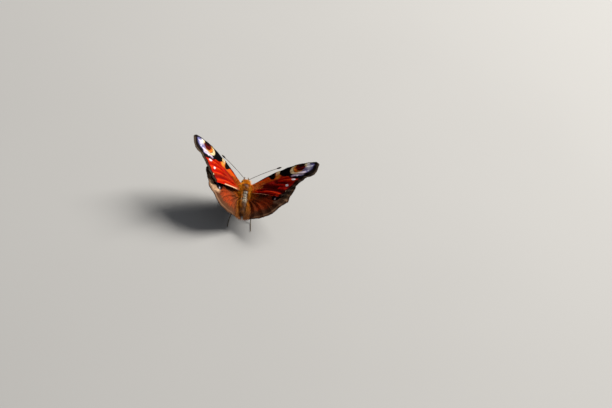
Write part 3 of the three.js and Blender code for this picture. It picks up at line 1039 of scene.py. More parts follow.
@dataclass(frozen=True)
class HindwingMarks:
    """Markings of the hindwing's upper face; points are (outward, forward) from the hinge."""

    eye_middle: Point = (13.5, -6.2)
    eye_radii: Point = (3.9, 2.6)
    spot: Point = (11.3, -7.7)
    # Width of a band of painted shade along the outer edge; the default puts it out of reach, so none shows.
    dark_margin: float = -FAR

    def patches(self, ground: Ground) -> list[Patch]:
        """The markings at the vertices of a wing, lowest first.

        Args:
            ground: where the vertices lie.

        Returns:
            One patch for each marking.
        """
        p, from_edge, from_front = ground.p, ground.from_edge, ground.from_front
        ex, ey = self.eye_middle
        rx, ry = self.eye_radii
        hem_half = np.clip((p[:, 0] - 4.0) / 20.0, 0.05, 0.6)
        return [
            Patch("glow", Paint.RUST, oval(p, (6.2, -8.6), (4.2, 4.0)), 3.0, 0.9),
            Patch("root", Paint.BROWN, oval(p, (1.0, -1.6), (4.0, 2.6)), 3.0, 0.8),
            Patch("grain", Paint.SOOT, oval(p, (6.0, -8.0), (14.0, 14.0)), 2.0, 0.8, streaky=True),
            Patch("front", Paint.UMBER, from_front - 1.2, 1.5, 0.8),
            Patch("border", Paint.UMBER, from_edge - 3.9, 2.6, 0.9),
            Patch("ring", Paint.TAN, oval(p, (ex + 2.2, ey - 2.5), (4.8, 2.9), 14), 0.9, 0.9),
            Patch("fleck", Paint.UMBER, from_edge - 5.0, 2.5, 0.5, streaky=True),
            # Painted shade along the outer edge.
            Patch("margin", Paint.SOOT, from_edge - self.dark_margin, 3.0, 0.75),
            Patch("eye", Paint.BLACK, oval(p, (ex, ey), (rx, ry), 14), 0.4),
            Patch("blue", Paint.BLUE, oval(p, (ex - 0.9, ey - 0.5), (1.0, 0.6), 20), 0.8, 0.6),
            Patch("sky", Paint.BLUE, oval(p, (ex + 1.6, ey + 0.5), (0.7, 0.5), 20), 0.5, 0.6),
            Patch("spot", Paint.WHITE, oval(p, self.spot, (0.42, 0.34)), 0.3, 0.8),
            Patch("hem", Paint.UMBER, from_edge - 1.3, 0.5, 0.9),
            Patch("hem_pale", Paint.TAN, np.abs(from_edge - 1.0) - hem_half, 0.8, 0.3),
        ]


@dataclass(frozen=True)
class Tuft:
    """Size and lie of the tufts of one growth, in millimetres.

    Args:
        length: mean length.
        width: width.
        lift: degrees between a tuft's start and the skin.
        sunk: depth of the root under the skin.
        fray: how far the directions stray.
        mottle: how far the shades of the tufts differ.
    """

    length: float
    width: float
    lift: float
    sunk: float = 0.12
    fray: float = 0.18
    mottle: float = 0.25


@dataclass
class Coat:
    """Tufts of hair or scales: thin closed blades that leave a skin and bend along its lie.

    Args:
        name: name of the piece.
        seed: start of the random draw.
        patch: share of the unwrapped skin's width that one tuft's colours take.
        flat: thickness of a tuft as a share of its width.
        rings: share of the length and of the width at each ring of three corners.
        shades: brightness of the rings and of the tip: painted shade near the root, painted light towards the
            tip.
    """

    name: str
    seed: int
    patch: float = 0.003
    flat: float = 0.45
    rings: tuple[Point, ...] = ((0.0, 0.9), (0.4, 1.0), (0.75, 0.65))
    shades: tuple[float, ...] = (0.5, 0.85, 1.1, 1.25)
    points: list[Rows] = field(default_factory=list)
    colours: list[Rows] = field(default_factory=list)
    unwraps: list[Rows] = field(default_factory=list)

    def __post_init__(self) -> None:
        """Start the random draw."""
        self.random = np.random.default_rng(self.seed)

    def grow(self, roots: Rows, normals: Rows, lies: Rows, unwrap: Rows, colours: Rows, tuft: Tuft) -> None:
        """Add one tuft at each root.

        Args:
            roots: places on the skin in millimetres.
            normals: the skin's outward directions.
            lies: the directions that the coat lies along.
            unwrap: place of each root on the unwrapped skin, from 0 to 1.
            colours: colour of each tuft.
            tuft: size and lie of the tufts.
        """
        n = len(roots)
        normals = unit(normals)
        lies = lies + self.random.normal(0, tuft.fray, (n, 3))
        lies = unit(lies - normals * np.sum(lies * normals, 1, keepdims=True))
        sides = np.cross(lies, normals)
        size = tuft.length * self.random.uniform(0.7, 1.25, (n, 1))
        start = math.radians(tuft.lift) * self.random.uniform(0.6, 1.3, (n, 1))
        curl = self.random.uniform(-0.22, 0.22, (n, 1))
        roots = roots - normals * tuft.sunk
        rows = []
        for share, thick in self.rings:
            middle = self.path(share, roots, normals, lies, sides, size, start, curl)
            for corner in range(3):
                a = 2 * math.pi * corner / 3
                across = sides * tuft.width * thick * 0.5 * math.cos(a)
                rows.append(middle + across + normals * tuft.width * self.flat * thick * 0.5 * math.sin(a))
        rows.append(self.path(1.0, roots, normals, lies, sides, size, start, curl))
        self.points.append(np.stack(rows, 1))
        # Painted shade at the root of each tuft and painted light towards its tip.
        shade = np.repeat(self.shades, (3, 3, 3, 1))[None, :, None]
        tint = self.random.uniform(1 - tuft.mottle, 1 + tuft.mottle, (n, 1, 1))
        self.colours.append(np.clip(colours[:, None, :] * shade * tint, 0, 1))
        grid = np.array([[(c + 0.5) / 3, r / 3] for r in range(3) for c in range(3)] + [[0.5, 1.0]])
        self.unwraps.append(unwrap[:, None, :] * (1 - self.patch) + grid[None] * self.patch)

    @staticmethod
    def path(
        share: float, roots: Rows, normals: Rows, lies: Rows, sides: Rows,
        size: Rows, start: Rows, curl: Rows,
    ) -> Rows:
        """Middle of each tuft, bending from its start over to the lie.

        Args:
            share: share of the tuft's length.
            roots: its sunken root.
            normals: the skin's outward direction.
            lies: the direction of the coat.
            sides: the direction across both.
            size: its length.
            start: angle between its start and the skin, in radians.
            curl: how far its tip strays sideways, as a share of its length.

        Returns:
            One point for each tuft.
        """
        ahead = share * np.cos(start) + (1 - np.cos(start)) * share**2
        above = share * np.sin(start) * (1 - 0.45 * share)
        return roots + size * (lies * ahead + normals * above + sides * curl * share**2)

    def build(self, stance: Stance, material: Material, slot: str) -> Piece:
        """Make one piece of all tufts, with its colours and its OFBake map.

        Args:
            stance: where the animal stands.
            material: finish of the tufts.
            slot: a material slot; not used.

        Returns:
            The finished coat.
        """
        points = np.concatenate(self.points)
        n, corners = points.shape[:2]
        faces = [[0, 1, 2]]
        for r in (0, 3):
            for c in range(3):
                d = (c + 1) % 3
                faces += [[r + c, r + 3 + d, r + d], [r + c, r + 3 + c, r + 3 + d]]
        faces += [[6 + c, 9, 6 + (c + 1) % 3] for c in range(3)]
        index = (np.arange(n)[:, None, None] * corners + np.array(faces)[None]).reshape(-1, 3)
        mesh = bpy.data.meshes.new(self.name)
        mesh.from_pydata(stance.place(points.reshape(-1, 3)), [], index)
        piece = add_object(self.name, mesh)
        write_colour(piece, "coat", np.concatenate(self.colours).reshape(-1, 3))
        layer = mesh.uv_layers.new(name="OFBake")
        unwrap = np.concatenate(self.unwraps).reshape(-1, 2)[index.reshape(-1)]
        layer.data.foreach_set("uv", unwrap.astype(np.float32).ravel())
        smooth_faces(piece)
        return finish_piece(piece, self.name, material)


EDGE_SCALE = Tuft(0.36, 0.11, 2.0, sunk=0.03, fray=0.06)
ROOT_HAIR = Tuft(1.1, 0.055, 24.0, sunk=0.04)
FIELD_HAIR = Tuft(0.9, 0.045, 7.0, sunk=0.04, fray=0.14, mottle=0.5)
INNER_HAIR = Tuft(1.9, 0.05, 20.0, sunk=0.04, mottle=0.4)


@dataclass(frozen=True)
class Fold:
    """A long soft fold that bends a wing downwards.

    Args:
        line: its deepest line, as (outward, forward) points.
        depth: how far it bends the wing down.
        width: distance from the line at which about a third of the depth is left.
    """

    line: tuple[Point, ...]
    depth: float
    width: float

    def depths(self, p: Rows) -> Rows:
        """How far the wing is bent down at rows of (outward, forward)."""
        return self.depth * np.exp(-((line_distance(p, np.array(self.line)) / self.width) ** 2))


@dataclass
class Wing:
    """One wing: a thin membrane with raised veins, markings, root hair and a fringe.

    Args:
        kind: forewing or hindwing.
        side: side of the animal.
        plan: the fan of veins.
        marks: markings of the upper face.
        finish: its scales.
        columns: columns of faces between two veins.
        rows: rows of faces from the root to the edge.
        membrane: thickness of the membrane.
        vein_height: height of a vein over the membrane near the root.
        vein_width: half width of a vein near the root.
        sag: how deep the membrane hangs between two veins.
        sweep: degrees that the wing is swept back further than its plan.
        stiff_veins: how many veins at the leading edge have an almost flat membrane.
        folds: folds of its own.
        fold_shade: how much painted shade a fold adds to the scales, as hollow for each millimetre of its
            depth.
        gathered: how far the columns of faces move towards the veins, from 0 to 1.
        cross_width: half width of the vein that closes the cell.
        ripple: height of the waves of the outer part.
        edge_scales: number of the scales drawn for each face of the edge.
        root_hairs: number of the hairs drawn near the root.
        field_hairs: number of the hairs drawn over a hindwing's inner half.
        inner_hairs: number of the hairs drawn along a hindwing's inner edge.
        map_corner: place of the plan, as (outward, rearward), where the hair's map begins.
        map_size: size of the plan that this map covers.
    """

    kind: str
    side: Side
    plan: WingPlan
    marks: ForewingMarks | HindwingMarks
    finish: ScaleFinish
    columns: int = 12
    rows: int = 150
    membrane: float = 0.10
    vein_height: float = 0.16
    vein_width: float = 0.20
    sag: float = 0.48
    sweep: float = 0.0
    stiff_veins: float = 6.0
    folds: tuple[Fold, ...] = ()
    fold_shade: float = 1.3
    gathered: float = 0.7
    cross_width: float = 0.15
    ripple: float = 0.07
    edge_scales: int = 1600
    root_hairs: int = 1500
    field_hairs: int = 3600
    inner_hairs: int = 1700
    map_corner: Point = (-3.0, -5.0)
    map_size: Point = (36.0, 46.0)

    @property
    def name(self) -> str:
        """Name of the wing's node and piece."""
        return f"{self.kind}_{self.side.label}"

    def build(self, stance: Stance, material: Material | None = None) -> Piece:
        """Make the membrane and dress it.

        Args:
            stance: where the animal stands.
            material: finish of the other side's wing, where it is made already.

        Returns:
            The finished wing.
        """
        deselect()
        bpy.ops.mesh.primitive_grid_add(
            x_subdivisions=self.plan.last * self.columns, y_subdivisions=self.rows, size=2,
        )
        wing = bpy.context.object
        shell = wing.modifiers.new("shell", "SOLIDIFY")
        shell.thickness, shell.offset = 2.0, 0.0
        bpy.ops.object.modifier_apply(modifier=shell.name)
        grid = read_points(wing)
        s = self.gather((grid[:, 0] * 0.5 + 0.5) * self.plan.last)
        t = grid[:, 1] * 0.5 + 0.5
        uv, height, hollow = self.relief(s, t, np.sign(grid[:, 2]))
        write_points(wing, stance.place(self.plan.into_body(uv, height, self.side)))
        patches = self.marks.patches(self.ground(s, t))
        for patch in patches:
            write_value(wing, "mark_" + patch.name, patch.distance)
        # The finish paints shade into the hollows and the folds from this value, and light where there is
        # none.
        write_value(wing, "hollow", hollow)
        write_value(wing, "underside", (grid[:, 2] < 0).astype(float))
        write_value(wing, "reach", np.hypot(uv[:, 0] + 2, uv[:, 1]))
        write_value(wing, "share", t)
        write_value(wing, "fan", s)
        material = material or self.finish.material(self.kind + "_scales", patches)
        return finish_piece(wing, self.name + "_scales", material, (self.name,))

    def gather(self, s: Rows) -> Rows:
        """Move the columns of a span towards its veins."""
        f = s % 1
        moved = np.floor(s) + f - self.gathered * np.sin(2 * math.pi * f) / (2 * math.pi)
        return np.where(s == np.round(s), s, moved)

    def relief(self, s: Rows, t: Rows, face: Rows) -> tuple[Rows, ...]:
        """Shape of the wing.

        Args:
            s: place across the fan, in veins.
            t: share of the way to the edge.
            face: 1 on the upper face and -1 on the lower one.

        Returns:
            Rows of (outward, rearward), their heights, and how far each is hollow, deepened along the folds,
            from which the finish paints light and shade.
        """
        plan = self.plan.swept(self.sweep)
        uv = plan.point(s, t)
        low = np.clip(np.floor(s), 0, plan.last - 1)
        f = s - low
        gap = np.linalg.norm(plan.point(low + 1, t) - plan.point(low, t), axis=1)
        width = self.vein_width * (1 - 0.55 * t) + 0.02
        in_cell = t < plan.cell_end
        ridge = np.zeros(len(s))
        for near, distance in ((low, f * gap), (low + 1, (1 - f) * gap)):
            stem = np.array([v.stem for v in plan.veins])[near.astype(int)]
            shown = (stem | ~in_cell) & (near != plan.last)
            ridge = np.maximum(ridge, shown * np.exp(-((distance / width) ** 2)))
        closes = (s >= plan.closed[0]) & (s <= plan.closed[1])
        length = np.linalg.norm(plan.point(s, np.ones(len(s))), axis=1)
        cross = np.exp(-(((t - plan.cell_end) * length / self.cross_width) ** 2))
        ridge = np.maximum(ridge, closes * cross)
        hollow = self.hollows(s, t, f, gap)
        flat = self.plan.point(s, t) * (1, -1)
        bent = sum((fold.depths(flat) for fold in self.folds), np.zeros(len(s))) * np.clip(4 * t, 0, 1)
        ripple = self.ripple * np.sin(1.1 * uv[:, 0] + 0.4 * uv[:, 1]) * np.sin(0.9 * uv[:, 1]) * t
        middle = plan.crown_height(uv) - self.sag * hollow - bent + ripple
        rise = self.membrane / 2 + ridge * self.vein_height * (1 - 0.6 * t)
        return uv, middle + face * rise, hollow + self.fold_shade * bent

    def hollows(self, s: Rows, t: Rows, f: Rows, gap: Rows) -> Rows:
        """How far the membrane hangs between the veins, as a share of the sag.

        Args:
            s: place across the fan, in veins.
            t: share of the way to the edge.
            f: share of the way from the vein before to the vein behind.
            gap: distance between these two veins in millimetres.

        Returns:
            One share for each place.
        """
        stems = [i for i, vein in enumerate(self.plan.veins) if vein.stem]
        front = max(i for i in stems if i <= self.plan.closed[0])
        rear = min(i for i in stems if i >= self.plan.closed[1])
        between = np.sin(math.pi * f) ** 2 * np.clip(gap / 1.8, 0, 1)
        across = np.sin(math.pi * np.clip((s - front) / (rear - front), 0, 1)) ** 2
        inside = (s > front) & (s < rear)
        beyond = np.clip((t - self.plan.cell_end + 0.06) / 0.12, 0, 1)
        beyond = beyond * beyond * (3 - 2 * beyond)
        hollow = np.where(inside, (1 - beyond) * across * 1.2 + beyond * between, between)
        stiff = 1 - 0.8 * np.clip((self.stiff_veins - s) / 1.5, 0, 1) * beyond
        return hollow * stiff * np.clip(5 * t, 0, 1) * (1 - 0.45 * t)

    def edge_line(self) -> Rows:
        """Points along the outer edge, from the tip to the inner corner."""
        s = np.arange(self.plan.tip, self.plan.last - 0.99, 0.1)
        return self.plan.point(s, np.ones(len(s)))

    def front_line(self) -> Rows:
        """Points along the leading edge, from the root to the tip."""
        t = np.linspace(0, 1, 20)
        s = np.arange(0, self.plan.tip + 0.01, 0.2)
        return np.concatenate([self.plan.point(np.zeros(20), t), self.plan.point(s, np.ones(len(s)))])

    def ground(self, s: Rows, t: Rows) -> Ground:
        """Where vertices lie on the plan before it is swept.

        Args:
            s: place across the fan, in veins.
            t: share of the way to the edge.

        Returns:
            What the markings are worked out from.
        """
        rear_line = self.plan.point(np.full(20, float(self.plan.last)), np.linspace(0, 1, 20))
        lines = (self.plan.point(s, t), self.edge_line(), self.front_line(), rear_line)
        p, edge, front, rear = (line * np.array([1.0, -1.0]) for line in lines)
        return Ground(p, line_distance(p, edge), line_distance(p, front), line_distance(p, rear))

    def fringe(self, stance: Stance, material: Material, seed: int) -> Piece:
        """Make the fringe of the edge and the hair of the root and the inner edge.

        Args:
            stance: where the animal stands.
            material: finish of the hair.
            seed: start of the random draw.

        Returns:
            The coat of the wing.
        """
        coat = Coat(self.name + "_fringe", seed)
        self.grow_edge(coat)
        self.grow_hair(coat)
        return coat.build(stance, material, self.kind)

    def on_wing(
        self, coat: Coat, s: Rows, t: Rows, ahead: Rows, face: Face, colour: Rows, tuft: Tuft,
    ) -> None:
        """Grow tufts on the wing.

        Args:
            coat: the coat that they join.
            s: place across the fan, in veins.
            t: share of the way to the edge.
            ahead: direction of the lie, as rows of (outward, rearward).
            face: the face that they grow on.
            colour: colour of each tuft.
            tuft: size and lie of the tufts.
        """
        uv, roots = self.surface(s, t, face)
        across = self.surface(s + 0.1, t, face)[1] - self.surface(s - 0.1, t, face)[1]
        along = self.surface(s, np.minimum(t + 0.03, 1), face)[1] - self.surface(s, t - 0.03, face)[1]
        normals = unit(np.cross(across, along))
        normals *= np.sign(normals @ self.plan.lift(self.side) * face.value)[:, None]
        tips = self.plan.into_body(uv + unit(ahead) * 0.1, np.zeros(len(s)), self.side)
        lies = unit(tips - self.plan.into_body(uv, np.zeros(len(s)), self.side))
        unwrap = (uv - self.map_corner) / self.map_size
        unwrap[:, 1] += 0.5 if face is Face.UNDER else 0.0
        coat.grow(roots, normals, lies, unwrap, colour, tuft)

    def surface(self, s: Rows, t: Rows, face: Face) -> tuple[Rows, Rows]:
        """Places of the plan and points of the body on a face of the wing."""
        s = np.clip(s, 0, self.plan.last)
        uv, height, _ = self.relief(s, np.clip(t, 0, 1), np.full(len(s), float(face.value)))
        return uv, self.plan.into_body(uv, height, self.side)

    def grow_edge(self, coat: Coat) -> None:
        """Grow the fringe of scales along the outer edge.

        Args:
            coat: the coat that they join.
        """
        s = coat.random.uniform(self.plan.tip - 1.0, self.plan.last, self.edge_scales)
        ahead = self.plan.point(s, np.ones(len(s))) - self.plan.point(s, np.full(len(s), 0.97))
        between = np.sin(math.pi * (s % 1)) ** 2
        colour = np.outer(1 - between, Paint.INK) + np.outer(between, Paint.HEM_PALE)
        for face in Face:
            self.on_wing(coat, s, np.full(len(s), 0.995), ahead, face, colour, EDGE_SCALE)

    def grow_hair(self, coat: Coat) -> None:
        """Grow the hair near the root, and on a hindwing along the inner edge too.

        Args:
            coat: the coat that it joins.
        """
        last = self.plan.last
        s = coat.random.uniform(0.2, last - 0.1, self.root_hairs)
        t = 0.01 + 0.17 * coat.random.beta(1.0, 2.0, len(s))
        self.hairs(coat, s, t, Paint.AMBER, ROOT_HAIR)
        if self.kind == "hindwing":
            s = last - (last - 2.0) * coat.random.beta(0.9, 1.9, self.field_hairs)
            t = 0.04 + 0.8 * coat.random.beta(1.0, 1.5, len(s))
            self.hairs(coat, s, t, Paint.CHESTNUT, FIELD_HAIR)
            s = last - 0.6 * coat.random.beta(1.0, 1.6, self.inner_hairs)
            t = 0.04 + 0.94 * coat.random.beta(1.1, 0.9, len(s))
            self.hairs(coat, s, t, Paint.FOX, INNER_HAIR, fade=0.7)

    def hairs(self, coat: Coat, s: Rows, t: Rows, colour: Colour, tuft: Tuft, fade: float = 0.0) -> None:
        """Grow hairs along the veins, one in four of them on the lower face too.

        Args:
            coat: the coat that they join.
            s: place across the fan, in veins.
            t: share of the way to the edge.
            colour: their colour on the upper face.
            tuft: their size and lie.
            fade: how much browner they are near the edge.
        """
        ahead = self.plan.point(s, t + 0.02) - self.plan.point(s, t)
        inwards = np.clip(s - self.plan.last + 1.0, 0, 1) * (0.5 + 1.1 * t)
        ahead = unit(ahead) + np.outer(inwards, (-1.0, 0.0))
        for face, tone, step in ((Face.UPPER, colour, 1), (Face.UNDER, Paint.DUSK, 4)):
            brown = fade * np.clip((t[::step] - 0.3) / 0.5, 0, 1)[:, None]
            colours = np.array(tone) * (1 - brown) + np.array(Paint.BROWN) * brown
            self.on_wing(coat, s[::step], t[::step], ahead[::step], face, colours, tuft)


class Fur:
    """Colours of the body's coat and of the hair of palps and legs."""

    ORANGE: Colour = (1.0, 0.35, 0.006)
    BROWN: Colour = (0.44, 0.14, 0.010)
    UMBER: Colour = (0.022, 0.013, 0.009)
    # SLATE is the grey-blue of painted sky reflections on the hair.
    SLATE: Colour = (0.80, 0.68, 0.66)
    CREAM: Colour = (1.0, 0.84, 0.56)
    PALP_SKIN: Colour = (0.12, 0.06, 0.03)
    PALP_DARK: Colour = (0.20, 0.085, 0.03)
    PALP_PALE: Colour = (0.42, 0.30, 0.17)
    LEG: Colour = (0.22, 0.15, 0.09)


@dataclass(frozen=True)
class BodyForm:
    """The skin of head, thorax and abdomen as one form along the body.

    Args:
        stations: (y, half width, half height, height of the middle) from the tail to the head.
        waist: where the abdomen begins.
        abdomen: length of the abdomen that its segments share.
        segments: number of the abdomen's segments.
        segment_step: how much each segment swells, as a share of its width.
    """

    stations: tuple[tuple[float, float, float, float], ...] = (
        (-14.05, 0.02, 0.02, -0.72), (-13.7, 0.38, 0.38, -0.70), (-13.0, 0.72, 0.72, -0.62),
        (-11.6, 1.06, 1.08, -0.46), (-9.8, 1.32, 1.34, -0.28), (-7.6, 1.46, 1.48, -0.12),
        (-5.8, 1.38, 1.42, -0.03), (-4.6, 1.12, 1.2, 0.0), (-3.8, 1.28, 1.36, 0.0), (-2.4, 1.92, 2.02, 0.0),
        (-0.4, 2.2, 2.3, 0.0), (1.6, 2.1, 2.2, 0.0), (3.0, 1.62, 1.74, 0.0), (3.9, 1.05, 1.15, 0.0),
        (4.45, 0.86, 0.92, 0.0), (5.1, 1.08, 1.12, 0.02), (5.8, 1.16, 1.2, 0.04), (6.4, 0.98, 1.02, 0.02),
        (6.85, 0.58, 0.62, 0.0), (7.02, 0.02, 0.02, 0.0),
    )
    waist: float = -4.6
    abdomen: float = 9.4
    segments: int = 9
    segment_step: float = 0.035

    def at(self, y: Rows, angle: Rows) -> Rows:
        """Points of the skin.

        Args:
            y: place along the body.
            angle: angle round the body from the back, towards +X.

        Returns:
            Rows of x, y, z.
        """
        table = np.array(self.stations)
        wide, high, middle = (self.blend(y, table[:, 0], table[:, k]) for k in (1, 2, 3))
        along = np.clip((self.waist - y) / self.abdomen, 0, 1) * self.segments
        step = 1 + self.segment_step * np.where(y < self.waist, (along % 1) ** 2 - 0.5, 0.0)
        return np.stack([wide * step * np.sin(angle), y, middle + high * step * np.cos(angle)], 1)

    @staticmethod
    def blend(x: Rows, xs: Rows, ys: Rows) -> Rows:
        """Read a smooth curve that never swings past its points.

        Args:
            x: the places to read.
            xs: places of the curve's points, rising.
            ys: values at these points.

        Returns:
            One value for each place.
        """
        h, d = np.diff(xs), np.diff(ys) / np.diff(xs)
        slope = np.zeros(len(xs))
        same = d[:-1] * d[1:] > 0
        slope[1:-1][same] = 2 * d[:-1][same] * d[1:][same] / (d[:-1] + d[1:])[same]
        slope[0], slope[-1] = d[0], d[-1]
        i = np.clip(np.searchsorted(xs, x) - 1, 0, len(h) - 1)
        f = (x - xs[i]) / h[i]
        a = (1 + 2 * f) * (1 - f) ** 2 * ys[i] + f * (1 - f) ** 2 * h[i] * slope[i]
        return a + f**2 * (3 - 2 * f) * ys[i + 1] + f**2 * (f - 1) * h[i] * slope[i + 1]

    def normal(self, y: Rows, angle: Rows) -> Rows:
        """Outward directions of the skin.

        Args:
            y: place along the body.
            angle: angle round the body from the back, towards +X.

        Returns:
            One direction for each place.
        """
        step = 0.02
        round_way = self.at(y, angle + step) - self.at(y, angle - step)
        long_way = self.at(y + step, angle) - self.at(y - step, angle)
        return unit(np.cross(round_way, long_way))

    def unwrap(self, y: Rows, angle: Rows) -> Rows:
        """Place on the unwrapped skin, from 0 to 1."""
        first, last = self.stations[0][0], self.stations[-1][0]
        return np.stack([(angle / (2 * math.pi)) % 1.0, (y - first) / (last - first)], 1)

    def colour(self, points: Rows) -> Rows:
        """Colour of coat and skin.

        Args:
            points: rows of x, y, z on the skin.

        Returns:
            One colour for each row.
        """
        x, y, z = points.T
        tones = (Fur.ORANGE, Fur.BROWN, Fur.UMBER, Fur.SLATE, Fur.CREAM)
        orange, brown, umber, slate, cream = (np.array(tone) for tone in tones)

        def lay(base: Rows, top: Rows, share: Rows) -> Rows:
            """Lay a colour over others by a share for each row."""
            return base + (top - base) * np.clip(share, 0, 1)[:, None]

        colours = np.tile(brown, (len(points), 1))
        horseshoe = np.clip(np.abs(x) / 0.7 - 0.7, 0, 1) + np.clip((y - 2.3) / 0.9, 0, 1)
        colours = lay(colours, orange, horseshoe)
        # A painted grey-blue reflection of the sky on the top of the thorax.
        painted_sky_sheen = np.exp(-(((x - 0.15) / 0.5) ** 2) - ((y - 1.7) / 0.7) ** 2) * (z > 0)
        colours = lay(colours, slate, 0.5 * painted_sky_sheen)
        fleck = np.sin(37.0 * x + 91.0 * y + 53.0 * z)
        rear = np.clip((-1.5 - y) / 0.5, 0, 1)
        colours = lay(colours, umber * 1.5, rear * np.exp(-((x / 1.3) ** 4)) * (z > 0))
        tail = brown * 0.8 + (umber - brown * 0.8) * (fleck > 0.1)[:, None]
        colours = lay(colours, tail, np.clip((-7.0 - y) / 1.2, 0, 1))
        # Pale bands across the abdomen: partly pale hair edges, partly painted reflection of the sky.
        wave = (-1.9 - y + 0.12 * fleck - 0.1 * x) / 1.32
        ring = np.clip(2.6 * np.sin(2 * math.pi * wave) + 1.9, 0, 1) * rear * np.clip((y + 7.9) / 0.9, 0, 1)
        pale = slate + (cream - slate) * np.clip(0.75 - 0.5 * x + 0.12 * (-3.0 - y), 0, 1)[:, None]
        middle = 1 - 0.5 * np.exp(-((x / 0.16) ** 2))
        colours = lay(colours, pale, 0.95 * ring * middle * np.exp(-((x / 0.95) ** 6)) * (z > 0))
        flank = np.clip(2.4 * (np.abs(x) - 0.8), 0, 1) * (y < -2.0) * (z > -0.5)
        flank = flank * np.clip((y + 12.5) / 3.0, 0.3, 1) * np.clip((y + 13.0) / 5.0, 0.35, 1)
        colours = lay(colours, orange * 0.9, 0.95 * flank)
        face = np.clip((y - 5.9) / 0.8, 0, 1) * np.clip(0.9 - z, 0, 1)
        colours = lay(colours, brown * 0.7, 0.8 * face)
        return lay(colours, umber * 2.6, np.clip((0.1 - z) / 1.1, 0, 1) * 0.92)


@dataclass(frozen=True)
class Growth:
    """Tufts strewn over a stretch of the body.

    Args:
        count: how many tufts are drawn.
        along: first and last place along the body.
        spread: half the angle round the body that they reach, in degrees.
        tuft: their size and lie.
        bare: half the angle on the back that they leave free, in degrees.
        forward: share of the lie that points to the head instead of the tail.
    """

    count: int
    along: Point
    spread: float
    tuft: Tuft
    bare: float = 0.0
    forward: float = 0.0


COATS = {
    "thorax_coat": (
        Growth(4700, (-0.9, 4.0), 108, Tuft(1.4, 0.075, 42)),
        Growth(1100, (1.8, 4.2), 105, Tuft(2.1, 0.06, 62), bare=38, forward=0.55),
        Growth(1300, (-3.2, -0.9), 108, Tuft(1.5, 0.075, 34), bare=34),
        Growth(1100, (-3.9, -0.9), 42, Tuft(0.5, 0.08, 14)),
        Growth(1700, (-3.9, 4.0), 180, Tuft(0.9, 0.08, 26), bare=90),
        Growth(1700, (0.6, 3.9), 112, Tuft(2.2, 0.06, 58), bare=40),
        Growth(1300, (-3.4, 1.0), 104, Tuft(2.5, 0.06, 38), bare=58),
    ),
    "head_coat": (
        Growth(4400, (4.2, 6.2), 115, Tuft(1.0, 0.06, 50), forward=0.35),
        Growth(4200, (4.2, 6.95), 180, Tuft(0.5, 0.05, 38, fray=0.12), forward=0.8),
        Growth(900, (4.3, 5.9), 78, Tuft(1.25, 0.05, 34), bare=36, forward=0.35),
        Growth(1300, (4.3, 5.2), 105, Tuft(1.6, 0.055, 56), bare=22, forward=0.5),
    ),
    "abdomen_coat": (
        Growth(8600, (-13.9, -2.8), 180, Tuft(0.55, 0.075, 15, mottle=0.4)),
        Growth(3600, (-13.0, -2.6), 112, Tuft(1.45, 0.055, 28, mottle=0.35), bare=42),
        Growth(900, (-13.9, -7.8), 70, Tuft(1.3, 0.055, 20, mottle=0.4)),
        Growth(900, (-13.9, -11.5), 120, Tuft(2.1, 0.055, 30, mottle=0.4)),
    ),
}


@dataclass
class Body:
    """Head, thorax and abdomen: one skin with its coat."""

    form: BodyForm = field(default_factory=BodyForm)
    rings: int = 150
    sides: int = 72

    def skin(self, stance: Stance) -> Piece:
        """Make the skin.

        Args:
            stance: where the animal stands.

        Returns:
            The skin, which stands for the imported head, thorax and abdomen.
        """
        deselect()
        bpy.ops.mesh.primitive_uv_sphere_add(segments=self.sides, ring_count=self.rings, radius=1)
        skin = bpy.context.object
        ball = unit(read_points(skin))
        first, last = self.form.stations[0][0], self.form.stations[-1][0]
        y = first + (last - first) * (1 - np.arccos(np.clip(ball[:, 2], -1, 1)) / math.pi)
        points = self.form.at(y, np.arctan2(ball[:, 0], ball[:, 1]))
        write_points(skin, stance.place(points))
        write_colour(skin, "coat", self.form.colour(points))
        material = SkinFinish().material("body_skin")
        return finish_piece(skin, "body_skin", material, ("head", "thorax", "abdomen"))

    def strew(self, coat: Coat, growth: Growth) -> None:
        """Strew the tufts of one growth, fewer of them where the body is narrow.

        Args:
            coat: the coat that they join.
            growth: where they grow and what they are like.
        """
        count = growth.count
        y = coat.random.uniform(*growth.along, count)
        angle = coat.random.uniform(math.radians(growth.bare), math.radians(growth.spread), count)
        angle = angle * coat.random.choice((-1, 1), count)
        reach = np.max(np.array(self.form.stations)[:, 1])
        width = np.abs(self.form.at(y, np.full(count, math.pi / 2))[:, 0])
        kept = coat.random.uniform(0, reach, count) < width + 0.3
        y, angle = y[kept], angle[kept]
        roots = self.form.at(y, angle)
        normals = self.form.normal(y, angle)
        outwards, downwards = 0.35 * np.sin(angle), -0.25 * np.abs(np.sin(angle))
        lies = np.stack([outwards, np.full(len(y), 2 * growth.forward - 1.0), downwards], 1)
        sway = 0.35 * np.sin(2.3 * y + 3.1 * angle)[:, None] * np.cross(normals, lies)
        unwrap = self.form.unwrap(y, angle)
        coat.grow(roots, normals, lies + sway, unwrap, self.form.colour(roots), growth.tuft)

    def coat(self, stance: Stance, material: Material) -> list[Piece]:
        """Make the coats of head, thorax and abdomen.

        Args:
            stance: where the animal stands.
            material: finish of the hair.

        Returns:
            The three coats.
        """
        made = []
        for seed, (name, growths) in enumerate(COATS.items(), 11):
            coat = Coat(name, seed)
            for growth in growths:
                self.strew(coat, growth)
            made.append(coat.build(stance, material, "abdomen" if name == "abdomen_coat" else "fur"))
        return made


